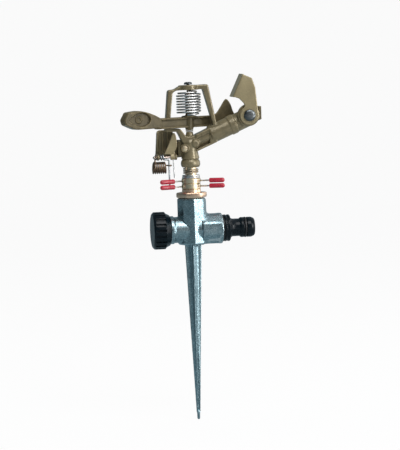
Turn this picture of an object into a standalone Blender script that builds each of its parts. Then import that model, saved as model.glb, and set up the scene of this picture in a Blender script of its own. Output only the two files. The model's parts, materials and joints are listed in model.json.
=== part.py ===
"""Impulse sprinkler on a ground spike.

Metres, +Z up. The origin is on the sprinkler's vertical axis, at the ground line where the
spike meets the underside of the base. +X is the side of the hose nipple and of the barrel,
-Y is the front, where the diffuser screw is.
"""
import math

import bmesh
import bpy
from mathutils import Matrix, Vector

# Fits and fineness shared by all pieces
CLEARANCE = 0.0003
OVERLAP = 0.0010
CAST_EDGE = 0.0008
TIGHT_CORNER = 0.0010
SMALL_CORNER = 0.0015
MIDDLE_CORNER = 0.0020
LARGE_CORNER = 0.0030
ROUND_STEPS = 32
SMALL_STEPS = 20
HOLE_STEPS = 16
FINE_STEPS = 12
COIL_STEPS = 10
SHARP_DEG = 35.0
MERGE_DISTANCE = 1e-6
WIRE_BEVEL_STEPS = 1

# Ground spike: four thin fins that taper to a point
SPIKE_LENGTH = 0.1586
SPIKE_ROOT_HALF_WIDTH = 0.0075
SPIKE_END_HALF_WIDTH = 0.0017
SPIKE_FIN_HALF_THICKNESS = 0.0016
SPIKE_END_HALF_THICKNESS = 0.0011
SPIKE_POINT_LENGTH = 0.0070
SPIGOT_RADIUS = 0.0047
SPIGOT_HEIGHT = 0.0042

# Zinc base: eight-sided column over a cross barrel
COLUMN_SIDES = 8
COLUMN_RADIUS = 0.0133
COLUMN_TOP_Z = 0.0420
COLUMN_CHAMFER = 0.0010
CROSS_AXIS_Z = 0.0135
SOCKET_FLAT_HALF = 0.0134
SOCKET_SHOULDER_X = 0.0076
SOCKET_SHOULDER_RADIUS = 0.0118
SOCKET_END_X = 0.0263
SOCKET_LIP_RADIUS = 0.0137
SOCKET_LIP_WIDTH = 0.0014
STUB_RADIUS = 0.0117
STUB_RING_RADIUS = 0.0126
STUB_RING_X = -0.0173
STUB_RING_WIDTH = 0.0034
STUB_THREAD_RADIUS = 0.0105
STUB_THREAD_LENGTH = 0.0119
WATERWAY_RADIUS = 0.0075
SOCKET_BORE_RADIUS = 0.0092
SOCKET_BORE_DEPTH = 0.0143
RISER_BORE_RADIUS = 0.0065
SLEEVE_BORE_RADIUS = 0.0095

# End cap, black plastic with ribs for the grip
CAP_RADIUS = 0.0168
CAP_GROOVE_DEPTH = 0.0011
CAP_RIBS = 20
CAP_END_WALL = 0.0019
CAP_END_CHAMFER = 0.0016
CAP_PLAIN_MOUTH = 0.0035
CAP_MOUTH_RADIUS = 0.0136
CAP_WASHER_THICKNESS = 0.0015
CAP_WASHER_HOLE = 0.0060

# Hose nipple, black plastic
NIPPLE_THREAD_LENGTH = 0.0123
ADAPTER_WASHER_THICKNESS = 0.0010
ADAPTER_FLANGE_RADIUS = 0.0120
ADAPTER_FLANGE_WIDTH = 0.0056
ADAPTER_NECK_RADIUS = 0.0079
ADAPTER_NECK_LENGTH = 0.0100
ADAPTER_EDGE = 0.0006
NIPPLE_RADIUS = 0.0090
NIPPLE_TIP_RADIUS = 0.0076
NIPPLE_LENGTH = 0.0123
NIPPLE_BORE_RADIUS = 0.0055
O_RING_SETBACK = 0.0039
O_RING_WIRE_RADIUS = 0.0011
O_RING_GROOVE_RADIUS = 0.0067
O_RING_SIDES = 8

# Brass bearing: hexagon, sleeve, turning tube and thrust washers
HEX_ACROSS_FLATS = 0.0240
HEX_HEIGHT = 0.0045
SLEEVE_THREAD_LENGTH = 0.0120
SLEEVE_SHOULDER_RADIUS = 0.0084
SLEEVE_SHOULDER_HEIGHT = 0.0029
COLLAR_SEAT_RADIUS = 0.0066
SLEEVE_SPIGOT_RADIUS = 0.0062
TUBE_RADIUS = 0.0051
TUBE_BORE_RADIUS = 0.0036
TUBE_FLANGE_RADIUS = 0.0085
TUBE_FLANGE_THICKNESS = 0.0020
TUBE_FLANGE_ROOM = 0.0005
TUBE_REACH = 0.0137
THRUST_WASHER_RADIUS = 0.0082
THRUST_WASHER_THICKNESS = 0.0012
RETAINING_RING_RADIUS = 0.0080
RETAINING_RING_THICKNESS = 0.0013
SEAT_WASHER_RADIUS = 0.0078
SEAT_WASHER_THICKNESS = 0.0010

# Stiff bearing spring
BEARING_SPRING_RADIUS = 0.0062
BEARING_SPRING_WIRE = 0.0008
BEARING_SPRING_TURNS = 2.5
BEARING_SPRING_LENGTH = 0.0063
BEARING_SPRING_START_DEG = 40.0

# Trip collars with their wires and red tips
COLLAR_RADIUS = 0.0085
COLLAR_HEIGHT = 0.0046
COLLAR_EDGE = 0.0004
COLLAR_WIRE_RADIUS = 0.0007
COLLAR_WIRE_SINK = 0.0001
COLLAR_WIRE_BEND_DEG = 10.0
COLLAR_WIRE_STRAIGHT = 0.0010
COLLAR_GROOVE_RUN = 0.0025
COLLAR_ARM_LENGTH = 0.0275
COLLAR_ARM_LEFT_DEG = 196.0
COLLAR_ARM_RIGHT_DEG = 344.0
TIP_RADIUS = 0.0021
TIP_LENGTH = 0.0140
TIP_END_WALL = 0.0030
TIP_NOSE = 0.0015

# Head casting: hub, barrel and bridge, with heights above the casting's underside
BULB_RADIUS = 0.0087
BULB_HEIGHT = 0.0066
CONE_TOP_RADIUS = 0.0066
CONE_TOP_RISE = 0.0157
DOME_TOP_RISE = 0.0267
DOME_TOP_RADIUS = 0.0040
BARREL_AXIS_RISE = 0.0204
BARREL_TILT_DEG = 22.8
BARREL_RADIUS = 0.00825
BARREL_NECK_RADIUS = 0.0056
BARREL_START = 0.0200
BARREL_END = 0.0570
BARREL_RING_START = 0.0390
BARREL_RING_WIDTH = 0.0055
BARREL_RING_RADIUS = 0.0089
BARREL_BORE_RADIUS = 0.0042
BARREL_RIB_DEPTH = 0.0078
BARREL_RIB_HALF_THICKNESS = 0.0018
RAIL_START_X = 0.0050
RAIL_HALF_DEPTH = 0.0062
RAIL_THICKNESS = 0.0018
RAIL_UNDER_LOW = -0.0079
RAIL_TOP_LOW = 0.0028
RAIL_TOP_HIGH = 0.0063
CHEEK_START_X = 0.0176
CHEEK_END_X = 0.0240
CHEEK_TOP = 0.0050
NOZZLE_SEAT_DEPTH = 0.0120
NOZZLE_RADIUS = 0.0056
NOZZLE_TIP_RADIUS = 0.0046
NOZZLE_LIP = 0.0020
NOZZLE_JET_RADIUS = 0.0022
BRIDGE_DEPTH = 0.0100
BRIDGE_EDGE = 0.0007
BRIDGE_HEIGHT = 0.0737
BRIDGE_BAR = 0.0042
BRIDGE_LEFT_BAR_SHARE = 0.6
BRIDGE_RIGHT_TOP_X = 0.0174
BRIDGE_RIGHT_FOOT_X = 0.0256
BRIDGE_RIGHT_FOOT_RISE = 0.0359
BRIDGE_RIGHT_BAR = 0.0045
BRIDGE_LEFT_TOP_X = -0.0189
BRIDGE_LEFT_STEP = 0.0042
BRIDGE_STEP_WIDTH = 0.0040
BRIDGE_LEFT_FOOT_X = -0.0226
BRIDGE_LEFT_FOOT_RISE = 0.0352
BRIDGE_SHELF_DEPTH = 0.0029
BRIDGE_CROTCH_RISE = 0.0267
BRIDGE_ROOT_DEPTH = 0.0055
BRIDGE_ROOT_HALF_WIDTH = 0.0065
BRIDGE_BOSS_RADIUS = 0.0088
BRIDGE_BOSS_LIP = 0.0004
WINDOW_SLANT = 0.0006
WINDOW_STEP = 0.0012
FULCRUM_BOSS_RISE = 0.0317
FULCRUM_BOSS_RADIUS = 0.0034
SIDE_BOSS_RADIUS = 0.0036
SIDE_BOSS_X = -0.0056
SIDE_BOSS_RISE = 0.0173
SIDE_BOSS_FRONT_Y = -0.0084
FRONT_BOSS_RADIUS = 0.0041
FRONT_BOSS_X = 0.0043
FRONT_BOSS_RISE = 0.0212
FRONT_BOSS_FRONT_Y = -0.0076
SIDE_PLUG_RADIUS = 0.0024
SIDE_PLUG_DEPTH = 0.0026
SCREW_SLOT = 0.0008

# Fulcrum pin, its screw head and the arm's bearings
PIN_RADIUS = 0.0014
PIN_FOOT_DEPTH = 0.0050
PIN_HEAD_RADIUS = 0.0036
PIN_HEAD_HEIGHT = 0.0022
BUSH_RADIUS = 0.0023
BUSH_LENGTH = 0.0050
ARM_WASHER_RADIUS = 0.0034
ARM_WASHER_THICKNESS = 0.0012

# Hammer arm
ARM_REST_DEG = 25.5
ARM_HUB_FOOT = 0.0021
ARM_HEIGHT = 0.0094
ARM_FLANGE_HALF_WIDTH = 0.0026
ARM_FLANGE_THICKNESS = 0.0015
ARM_WEB_HALF_WIDTH = 0.0011
ARM_BEAM_OUT = 0.0250
ARM_HUB_RADIUS = 0.0036
ARM_COLUMN_RADIUS = 0.0031
ARM_COLUMN_GAP = 0.0034
SPRING_SEAT_RADIUS = 0.0068
SPRING_SEAT_THICKNESS = 0.0010
WEIGHT_HALF_THICKNESS = 0.0045
WEIGHT_INNER_X = -0.0350
WEIGHT_LENGTH = 0.0361
WEIGHT_ROOT = 0.0030
WEIGHT_RISE = 0.0176
WEIGHT_LIFT = 0.0007
WEIGHT_RECESS_DEPTH = 0.0028
WEIGHT_RECESS_INNER_MARGIN = 0.0084
WEIGHT_RECESS_OUTER_MARGIN = 0.0042
WEIGHT_MARK_RADIUS = 0.0031
WEIGHT_MARK_WALL = 0.0009
WEIGHT_MARK_HEIGHT = 0.0007
VANE_HALF_THICKNESS = 0.0012
VANE_RUN_Y = 0.0138
VANE_RUN_BEND = 0.0013
VANE_EAR_X = 0.0360
VANE_EAR_HALF_LENGTH = 0.0041
VANE_EAR_RISE = 0.0144
VANE_EAR_DROP = 0.0010
VANE_TURN_X = 0.0500
VANE_REACH_X = 0.0640
VANE_TIP_Y = -0.0040
VANE_SPOON_RISE = 0.0074
VANE_SPOON_FLOOR = 0.0050

# Arm spring, wound round the arm's column
ARM_SPRING_RADIUS = 0.0103
ARM_SPRING_WIRE = 0.0008
ARM_SPRING_TURNS = 8.5
ARM_SPRING_TOP_RADIUS = 0.0062
ARM_SPRING_START_DEG = 250.0

# Diffuser flap, its screw and washer. Corners are X and Z from the flap's pivot
FLAP_PIVOT_BEYOND = 0.0009
FLAP_PIVOT_LIFT = 0.0023
FLAP_DISC_RADIUS = 0.0085
FLAP_TIP = (-0.0050, 0.0367)
FLAP_NOSE = (0.0032, 0.0331)
FLAP_BROW = (0.0060, 0.0248)
FLAP_HEEL = (-0.0142, 0.0171)
FLAP_NOTCH = (-0.0086, 0.0150)
FLAP_NOTCH_FOOT = (-0.0046, 0.0105)
FLAP_THICKNESS = 0.0022
FLAP_ROOF_DEPTH = 0.0190
FLAP_ROOF_THICKNESS = 0.0015
FLAP_WASHER_THICKNESS = 0.0008
FLAP_WASHER_RADIUS = 0.0052
LUG_RADIUS = 0.0099
LUG_FRONT_Y = -0.0104
LUG_BACK_Y = -0.0055
FLAP_SCREW_HEAD_RADIUS = 0.0052
FLAP_SCREW_HEAD_HEIGHT = 0.0026
FLAP_SCREW_RADIUS = 0.0020
FLAP_SCREW_DEPTH = 0.0032

# Trip mechanism on the left of the head
TRIP_Y = -0.0022
TRIP_PIN_RISE = 0.0097
TRIP_PIN_RADIUS = 0.0009
TRIP_PIN_LEFT_X = -0.0328
TRIP_BALL_RADIUS = 0.0014
BRACKET_LEFT_X = -0.0304
BRACKET_EAR_WIDTH = 0.0020
BRACKET_RIGHT_EAR_X = -0.0143
BRACKET_EAR_RADIUS = 0.0026
BRACKET_FRONT_Y = 0.0085
BRACKET_THICKNESS = 0.0030
BRACKET_RISE = 0.0071
BRACKET_HEIGHT = 0.0266
BRACKET_STEP = 0.0040
BRACKET_ROOT_LEFT_X = -0.0105
BRACKET_ROOT_RIGHT_X = -0.0025
BRACKET_RIBS = 4
BRACKET_RIB_DEPTH = 0.0022
BRACKET_RIB_WIDTH = 0.0014
BRACKET_RIB_FOOT = 0.0070
LEVER_EYE_RADIUS = 0.0025
LEVER_EYE_WIDTH = 0.0036
LEVER_HALF_THICKNESS = 0.0013
LEVER_HEIGHT = 0.0220
LEVER_BELLY_X = -0.0118
LEVER_TIP_X = -0.0142
LEVER_TIP_WIDTH = 0.0029
LEVER_HEEL_X = -0.0238
LEVER_BACK_BOW = 0.0007
TRIP_WIRE_RADIUS = 0.00075
TRIP_WIRE_DROP_X = -0.0196
TRIP_WIRE_TURNS = 1.5
TRIP_WIRE_COIL_GAP = 0.0006
TRIP_WIRE_BEND = 0.0020
TAIL_WIRE_RADIUS = 0.0005
TAIL_WIRE_GAP = 0.0007
TAIL_WIRE_SET = 0.0006
TAIL_WIRE_ROOT = 0.0009
TOGGLE_RADIUS = 0.0048
TOGGLE_WIRE = 0.0007
TOGGLE_TURNS = 5.0
TOGGLE_DROP = 0.0090
TOGGLE_LEFT_X = -0.0316
TOGGLE_RIGHT_X = -0.0226
TOGGLE_START_DEG = 20.0

# Places that follow from the sizes above: base and bearing
STUB_END_X = STUB_RING_X - STUB_RING_WIDTH - STUB_THREAD_LENGTH
CAP_FLOOR_X = STUB_END_X - 2 * CLEARANCE - CAP_WASHER_THICKNESS
CAP_END_X = CAP_FLOOR_X - CAP_END_WALL
ADAPTER_FLANGE_X = SOCKET_END_X + 2 * CLEARANCE + ADAPTER_WASHER_THICKNESS
ADAPTER_FLANGE_END_X = ADAPTER_FLANGE_X + ADAPTER_FLANGE_WIDTH
ADAPTER_NECK_END_X = ADAPTER_FLANGE_END_X + ADAPTER_NECK_LENGTH
NIPPLE_END_X = ADAPTER_NECK_END_X + NIPPLE_LENGTH
O_RING_X = ADAPTER_NECK_END_X + O_RING_SETBACK
SLEEVE_BASE_Z = COLUMN_TOP_Z + CLEARANCE
SLEEVE_BOTTOM_Z = SLEEVE_BASE_Z - SLEEVE_THREAD_LENGTH
HARD_WASHER_Z = SLEEVE_BOTTOM_Z - CLEARANCE - THRUST_WASHER_THICKNESS
SOFT_WASHER_Z = HARD_WASHER_Z - CLEARANCE - THRUST_WASHER_THICKNESS
TUBE_FLANGE_TOP_Z = SOFT_WASHER_Z - CLEARANCE
TUBE_FLANGE_BOTTOM_Z = TUBE_FLANGE_TOP_Z - TUBE_FLANGE_THICKNESS
SLEEVE_BORE_FLOOR_Z = TUBE_FLANGE_BOTTOM_Z - TUBE_FLANGE_ROOM
SLEEVE_SHOULDER_TOP_Z = SLEEVE_BASE_Z + HEX_HEIGHT + SLEEVE_SHOULDER_HEIGHT
LOWER_COLLAR_Z = SLEEVE_SHOULDER_TOP_Z + CLEARANCE
UPPER_COLLAR_Z = LOWER_COLLAR_Z + COLLAR_HEIGHT + CLEARANCE
RETAINING_RING_Z = UPPER_COLLAR_Z + COLLAR_HEIGHT + CLEARANCE
SLEEVE_TOP_Z = RETAINING_RING_Z + RETAINING_RING_THICKNESS
SEAT_WASHER_Z = SLEEVE_TOP_Z + CLEARANCE
SPRING_BOTTOM_Z = SEAT_WASHER_Z + SEAT_WASHER_THICKNESS + CLEARANCE
SPRING_TOP_Z = SPRING_BOTTOM_Z + BEARING_SPRING_LENGTH
BEARING_BORE_RADIUS = TUBE_RADIUS + CLEARANCE
COLLAR_WIRE_ARC_RADIUS = COLLAR_RADIUS - COLLAR_WIRE_SINK
TIP_END = COLLAR_ARM_LENGTH + TIP_END_WALL
TIP_START = TIP_END - TIP_LENGTH

# Places that follow: head, arm, flap and trip
BODY_BOTTOM_Z = SPRING_TOP_Z + CLEARANCE
TUBE_TOP_Z = BODY_BOTTOM_Z + TUBE_REACH
CONE_TOP_Z = BODY_BOTTOM_Z + CONE_TOP_RISE
DOME_TOP_Z = BODY_BOTTOM_Z + DOME_TOP_RISE
BARREL_AXIS_Z = BODY_BOTTOM_Z + BARREL_AXIS_RISE
BARREL_DIRECTION = Vector((math.cos(math.radians(BARREL_TILT_DEG)), 0.0,
                           math.sin(math.radians(BARREL_TILT_DEG))))
BARREL_UP = Vector((-BARREL_DIRECTION.z, 0.0, BARREL_DIRECTION.x))
BARREL_ORIGIN = Vector((0.0, 0.0, BARREL_AXIS_Z))
BRIDGE_TOP_Z = BODY_BOTTOM_Z + BRIDGE_HEIGHT
BRIDGE_LEFT_TOP_Z = BRIDGE_TOP_Z - BRIDGE_LEFT_STEP
BRIDGE_RIGHT_FOOT_Z = BODY_BOTTOM_Z + BRIDGE_RIGHT_FOOT_RISE
BRIDGE_LEFT_FOOT_Z = BODY_BOTTOM_Z + BRIDGE_LEFT_FOOT_RISE
BRIDGE_CROTCH_Z = BODY_BOTTOM_Z + BRIDGE_CROTCH_RISE
BRIDGE_BOSS_BOTTOM_Z = BRIDGE_TOP_Z - BRIDGE_BAR - BRIDGE_BOSS_LIP
FULCRUM_BOSS_TOP_Z = BODY_BOTTOM_Z + FULCRUM_BOSS_RISE
SIDE_BOSS_Z = BODY_BOTTOM_Z + SIDE_BOSS_RISE
FRONT_BOSS_Z = BODY_BOTTOM_Z + FRONT_BOSS_RISE
ARM_WASHER_Z = FULCRUM_BOSS_TOP_Z + CLEARANCE
HUB_BOTTOM_Z = ARM_WASHER_Z + ARM_WASHER_THICKNESS + CLEARANCE
ARM_BOTTOM_Z = HUB_BOTTOM_Z + ARM_HUB_FOOT
ARM_TOP_Z = ARM_BOTTOM_Z + ARM_HEIGHT
ARM_COLUMN_TOP_Z = BRIDGE_BOSS_BOTTOM_Z - ARM_COLUMN_GAP
SPRING_SEAT_TOP_Z = ARM_TOP_Z + SPRING_SEAT_THICKNESS
WEIGHT_TOP_Z = ARM_BOTTOM_Z + WEIGHT_RISE
WEIGHT_BOTTOM_Z = ARM_BOTTOM_Z + WEIGHT_LIFT
FLAP_PIVOT = (BARREL_ORIGIN + BARREL_DIRECTION * (BARREL_END + FLAP_PIVOT_BEYOND)
              + BARREL_UP * FLAP_PIVOT_LIFT)
FLAP_BACK_Y = LUG_FRONT_Y - 2 * CLEARANCE - FLAP_WASHER_THICKNESS
FLAP_FRONT_Y = FLAP_BACK_Y - FLAP_THICKNESS
TRIP_PIN_Z = BODY_BOTTOM_Z + TRIP_PIN_RISE
BRACKET_BOTTOM_Z = BODY_BOTTOM_Z + BRACKET_RISE
BRACKET_TOP_Z = BRACKET_BOTTOM_Z + BRACKET_HEIGHT
BRACKET_RIGHT_X = BRACKET_RIGHT_EAR_X + BRACKET_EAR_WIDTH
LEVER_EYE_RIGHT_X = BRACKET_RIGHT_EAR_X - CLEARANCE
LEVER_EYE_LEFT_X = LEVER_EYE_RIGHT_X - LEVER_EYE_WIDTH
TRIP_WIRE_BOTTOM_Z = LOWER_COLLAR_Z
TAIL_WIRE_BOTTOM_Z = UPPER_COLLAR_Z + COLLAR_HEIGHT + TAIL_WIRE_GAP
TOGGLE_AXIS_Z = TRIP_PIN_Z - TOGGLE_DROP


# Materials

def material(name, colour, roughness, metallic):
    made = bpy.data.materials.get(name)
    if made is None:
        made = bpy.data.materials.new(name)
        made.use_nodes = True
        shader = made.node_tree.nodes["Principled BSDF"]
        shader.inputs["Base Color"].default_value = (*colour, 1.0)
        shader.inputs["Roughness"].default_value = roughness
        shader.inputs["Metallic"].default_value = metallic
        made.diffuse_color = (*colour, 1.0)
    return made


def zinc():
    return material("zinc", (0.50, 0.56, 0.58), 0.45, 0.9)


def bronze_paint():
    return material("bronze_paint", (0.42, 0.36, 0.26), 0.5, 0.3)


def brass():
    return material("brass", (0.75, 0.56, 0.34), 0.3, 1.0)


def bright_steel():
    return material("bright_steel", (0.72, 0.74, 0.76), 0.25, 1.0)


def plated_screw():
    return material("plated_screw", (0.40, 0.45, 0.52), 0.4, 0.9)


def black_plastic():
    return material("black_plastic", (0.02, 0.02, 0.025), 0.35, 0.0)


def red_vinyl():
    return material("red_vinyl", (0.72, 0.08, 0.14), 0.45, 0.0)


def seal_rubber():
    return material("seal_rubber", (0.03, 0.03, 0.03), 0.7, 0.0)


def white_nylon():
    return material("white_nylon", (0.85, 0.85, 0.82), 0.5, 0.0)


# Modelling helpers

def object_from(bm, name, surface):
    """Make a named object of a bmesh, with its faces pointing out."""
    bmesh.ops.recalc_face_normals(bm, faces=bm.faces)
    mesh = bpy.data.meshes.new(name)
    bm.to_mesh(mesh)
    bm.free()
    mesh.shade_smooth()
    mesh.set_sharp_from_angle(angle=math.radians(SHARP_DEG))
    made = bpy.data.objects.new(name, mesh)
    bpy.context.scene.collection.objects.link(made)
    if surface is not None:
        mesh.materials.append(surface)
    return made


def boolean(target, tool, operation):
    """Add a boolean, and mark its tool as no piece of the sprinkler."""
    tool.hide_render = True
    tool.display_type = "WIRE"
    step = target.modifiers.new(f"{operation.lower()}_{tool.name}", "BOOLEAN")
    step.operation = operation
    step.solver = "EXACT"
    step.object = tool


def cut(target, tool):
    boolean(target, tool, "DIFFERENCE")


def join(target, tool):
    boolean(target, tool, "UNION")


def tools_of(piece):
    """Every cutter and guide of a piece, and theirs in turn."""
    for step in piece.modifiers:
        if step.type == "BOOLEAN":
            yield step.object
            yield from tools_of(step.object)


def along(axis):
    """Matrix that turns +Z to the given axis."""
    up = Vector((0.0, 0.0, 1.0))
    return up.rotation_difference(Vector(axis).normalized()).to_matrix().to_4x4()


def turned(name, profile, surface=None, origin=(0.0, 0.0, 0.0), axis=(0.0, 0.0, 1.0),
           steps=ROUND_STEPS):
    """Revolve a closed profile of (radius, height) points about an axis."""
    bm = bmesh.new()
    corners = [bm.verts.new((radius, 0.0, height)) for radius, height in profile]
    edges = [bm.edges.new((a, b)) for a, b in zip(corners, corners[1:] + corners[:1])]
    bmesh.ops.spin(bm, geom=corners + edges, axis=(0.0, 0.0, 1.0), cent=(0.0, 0.0, 0.0),
                   steps=steps, angle=math.tau)
    bmesh.ops.remove_doubles(bm, verts=bm.verts, dist=MERGE_DISTANCE)
    lonely = [edge for edge in bm.edges if not edge.link_faces]
    bmesh.ops.delete(bm, geom=lonely, context="EDGES")
    bmesh.ops.transform(bm, matrix=Matrix.Translation(origin) @ along(axis), verts=bm.verts)
    return object_from(bm, name, surface)


def rod(name, radius, start, end, surface=None, steps=SMALL_STEPS):
    """A plain round bar between two points, often used as a drill."""
    start, end = Vector(start), Vector(end)
    length = (end - start).length
    profile = [(0.0, 0.0), (radius, 0.0), (radius, length), (0.0, length)]
    return turned(name, profile, surface, start, end - start, steps)


def ring(name, inner, outer, bottom, height, surface, edge=0.0, origin=(0.0, 0.0, 0.0),
         axis=(0.0, 0.0, 1.0), steps=ROUND_STEPS):
    """A washer, with its outer edges broken by a small chamfer."""
    top = bottom + height
    profile = [(inner, bottom), (outer - edge, bottom), (outer, bottom + edge),
               (outer, top - edge), (outer - edge, top), (inner, top)]
    return turned(name, [p for i, p in enumerate(profile) if p != profile[i - 1]],
                  surface, origin, axis, steps)


def extruded(name, outline, low, high, surface=None, plane="XZ", bevel=0.0):
    """Extrude an outline. Plane XZ runs from y=low to y=high, plane XY along z, YZ along x."""
    place = {"XZ": lambda a, b, c: (a, c, b), "XY": lambda a, b, c: (a, b, c),
             "YZ": lambda a, b, c: (c, a, b)}[plane]
    bm = bmesh.new()
    lower = [bm.verts.new(place(a, b, low)) for a, b in outline]
    upper = [bm.verts.new(place(a, b, high)) for a, b in outline]
    bm.faces.new(lower)
    bm.faces.new(upper)
    for i in range(len(outline)):
        j = (i + 1) % len(outline)
        bm.faces.new((lower[i], lower[j], upper[j], upper[i]))
    made = object_from(bm, name, surface)
    if bevel:
        step = made.modifiers.new("edge", "BEVEL")
        step.width = bevel
        step.segments = 1
        step.limit_method = "ANGLE"
        step.angle_limit = math.radians(50.0)
    return made


def rectangle(left, right, low, high):
    return [(left, low), (right, low), (right, high), (left, high)]


def polygon(sides, radius, start_deg=0.0):
    turn = [math.radians(start_deg) + math.tau * i / sides for i in range(sides)]
    return [(radius * math.cos(a), radius * math.sin(a)) for a in turn]


def arc(centre, radius, from_deg, to_deg, steps):
    """Points on an arc, both ends included."""
    out = []
    for i in range(steps + 1):
        a = math.radians(from_deg + (to_deg - from_deg) * i / steps)
        out.append((centre[0] + radius * math.cos(a), centre[1] + radius * math.sin(a)))
    return out


def rounded(corners, steps=3):
    """Round each corner (x, y, radius) of a polygon with a quadratic curve."""
    out = []
    for i, (x, y, radius) in enumerate(corners):
        here = Vector((x, y))
        if radius == 0.0:
            out.append((x, y))
            continue
        before = (Vector(corners[i - 1][:2]) - here).normalized() * radius
        after = (Vector(corners[(i + 1) % len(corners)][:2]) - here).normalized() * radius
        for k in range(steps + 1):
            t = k / steps
            point = here + before * (1 - t) ** 2 + after * t ** 2
            out.append((point.x, point.y))
    return out


def smooth_path(points, steps):
    """Catmull-Rom curve through points of any size, as a list of tuples."""
    padded = [points[0]] + list(points) + [points[-1]]
    out = []
    for i in range(1, len(padded) - 2):
        p0, p1, p2, p3 = padded[i - 1:i + 3]
        for k in range(steps):
            t = k / steps
            out.append(tuple(0.5 * (2 * b + (c - a) * t + (2 * a - 5 * b + 4 * c - d) * t * t
                                    + (3 * b - a - 3 * c + d) * t ** 3)
                             for a, b, c, d in zip(p0, p1, p2, p3)))
    out.append(tuple(points[-1]))
    return out


def wire(name, points, radius, surface):
    """One round wire along points: a curve with a bevel and filled caps."""
    curve = bpy.data.curves.new(name, "CURVE")
    curve.dimensions = "3D"
    curve.bevel_depth = radius
    curve.bevel_resolution = WIRE_BEVEL_STEPS
    curve.use_fill_caps = True
    spline = curve.splines.new("POLY")
    spline.points.add(len(points) - 1)
    for target, point in zip(spline.points, points):
        target.co = (*point, 1.0)
    if surface is not None:
        curve.materials.append(surface)
    made = bpy.data.objects.new(name, curve)
    bpy.context.scene.collection.objects.link(made)
    return made


def wire_solid(name, points, radius):
    """The same wire as a mesh, for cuts."""
    guide = wire(name + "_guide", points, radius, None)
    evaluated = guide.evaluated_get(bpy.context.evaluated_depsgraph_get())
    mesh = bpy.data.meshes.new_from_object(evaluated)
    bpy.data.objects.remove(guide, do_unlink=True)
    bm = bmesh.new()
    bm.from_mesh(mesh)
    bmesh.ops.remove_doubles(bm, verts=bm.verts, dist=MERGE_DISTANCE)
    return object_from(bm, name, None)


def bend(points, radius, steps=4):
    """Round the inner corners of a 3D polyline."""
    out = [Vector(points[0])]
    for before, here, after in zip(points, points[1:], points[2:]):
        here = Vector(here)
        start = here + (Vector(before) - here).normalized() * radius
        end = here + (Vector(after) - here).normalized() * radius
        for k in range(steps + 1):
            t = k / steps
            out.append(start * (1 - t) ** 2 + here * 2 * t * (1 - t) + end * t ** 2)
    out.append(Vector(points[-1]))
    return out


def coil(turns, radius_at, rise_at, start_deg, points_per_turn=COIL_STEPS):
    """Helix points about +Z. radius_at and rise_at take the share of the way, 0 to 1."""
    count = int(round(turns * points_per_turn))
    out = []
    for i in range(count + 1):
        share = i / count
        a = math.radians(start_deg) + math.tau * turns * share
        radius = radius_at(share)
        out.append(Vector((radius * math.cos(a), radius * math.sin(a), rise_at(share))))
    return out


def print_self_gap(name, points, radius, skip=6):
    """Print the least gap between stretches of one wire that are more than skip points apart."""
    gaps = [(a - b).length - 2 * radius for i, a in enumerate(points) for b in points[i + skip:]]
    print(name, "least gap to itself, mm:", round(min(gaps) * 1000, 2))


def pivot(name, at):
    """Empty on a joint's axis, for the pieces that turn on it."""
    empty = bpy.data.objects.new(name, None)
    empty.location = at
    bpy.context.scene.collection.objects.link(empty)
    return empty


def hang(pieces, parent):
    """Parent pieces, and the tools that shape them, to an empty without moving them."""
    for piece in pieces:
        for thing in [piece] + list(tools_of(piece)):
            thing.parent = parent
            thing.matrix_parent_inverse = Matrix.Translation(-parent.location)


def loft(name, sections, surface=None, closed_tip=None):
    """Skin equal rings of points, with a flat start and a flat or pointed end."""
    bm = bmesh.new()
    rings = [[bm.verts.new(p) for p in section] for section in sections]
    for lower, upper in zip(rings, rings[1:]):
        for i in range(len(lower)):
            j = (i + 1) % len(lower)
            bm.faces.new((lower[i], lower[j], upper[j], upper[i]))
    bm.faces.new(rings[0])
    if closed_tip is None:
        bm.faces.new(rings[-1])
    else:
        tip = bm.verts.new(closed_tip)
        for i in range(len(rings[-1])):
            bm.faces.new((rings[-1][i], rings[-1][(i + 1) % len(rings[-1])], tip))
    return object_from(bm, name, surface)


# Ground spike

def fin_section(z, half_width, half_thickness):
    """Twelve corners of the plus-shaped section."""
    t, w = half_thickness, half_width
    out = []
    for k in range(4):
        a = math.pi / 2 * k
        for x, y in ((w, -t), (w, t), (t, t)):
            out.append((x * math.cos(a) - y * math.sin(a), x * math.sin(a) + y * math.cos(a), z))
    return out


def make_ground_spike():
    top = -CLEARANCE
    shoulder = -SPIKE_LENGTH + SPIKE_POINT_LENGTH
    sections = [fin_section(top, SPIKE_ROOT_HALF_WIDTH, SPIKE_FIN_HALF_THICKNESS),
                fin_section(shoulder, SPIKE_END_HALF_WIDTH, SPIKE_END_HALF_THICKNESS)]
    spike = loft("ground_spike", sections, zinc(), closed_tip=(0.0, 0.0, -SPIKE_LENGTH))
    join(spike, rod("spike_spigot", SPIGOT_RADIUS, (0, 0, top - OVERLAP), (0, 0, SPIGOT_HEIGHT)))


# Zinc base

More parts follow.
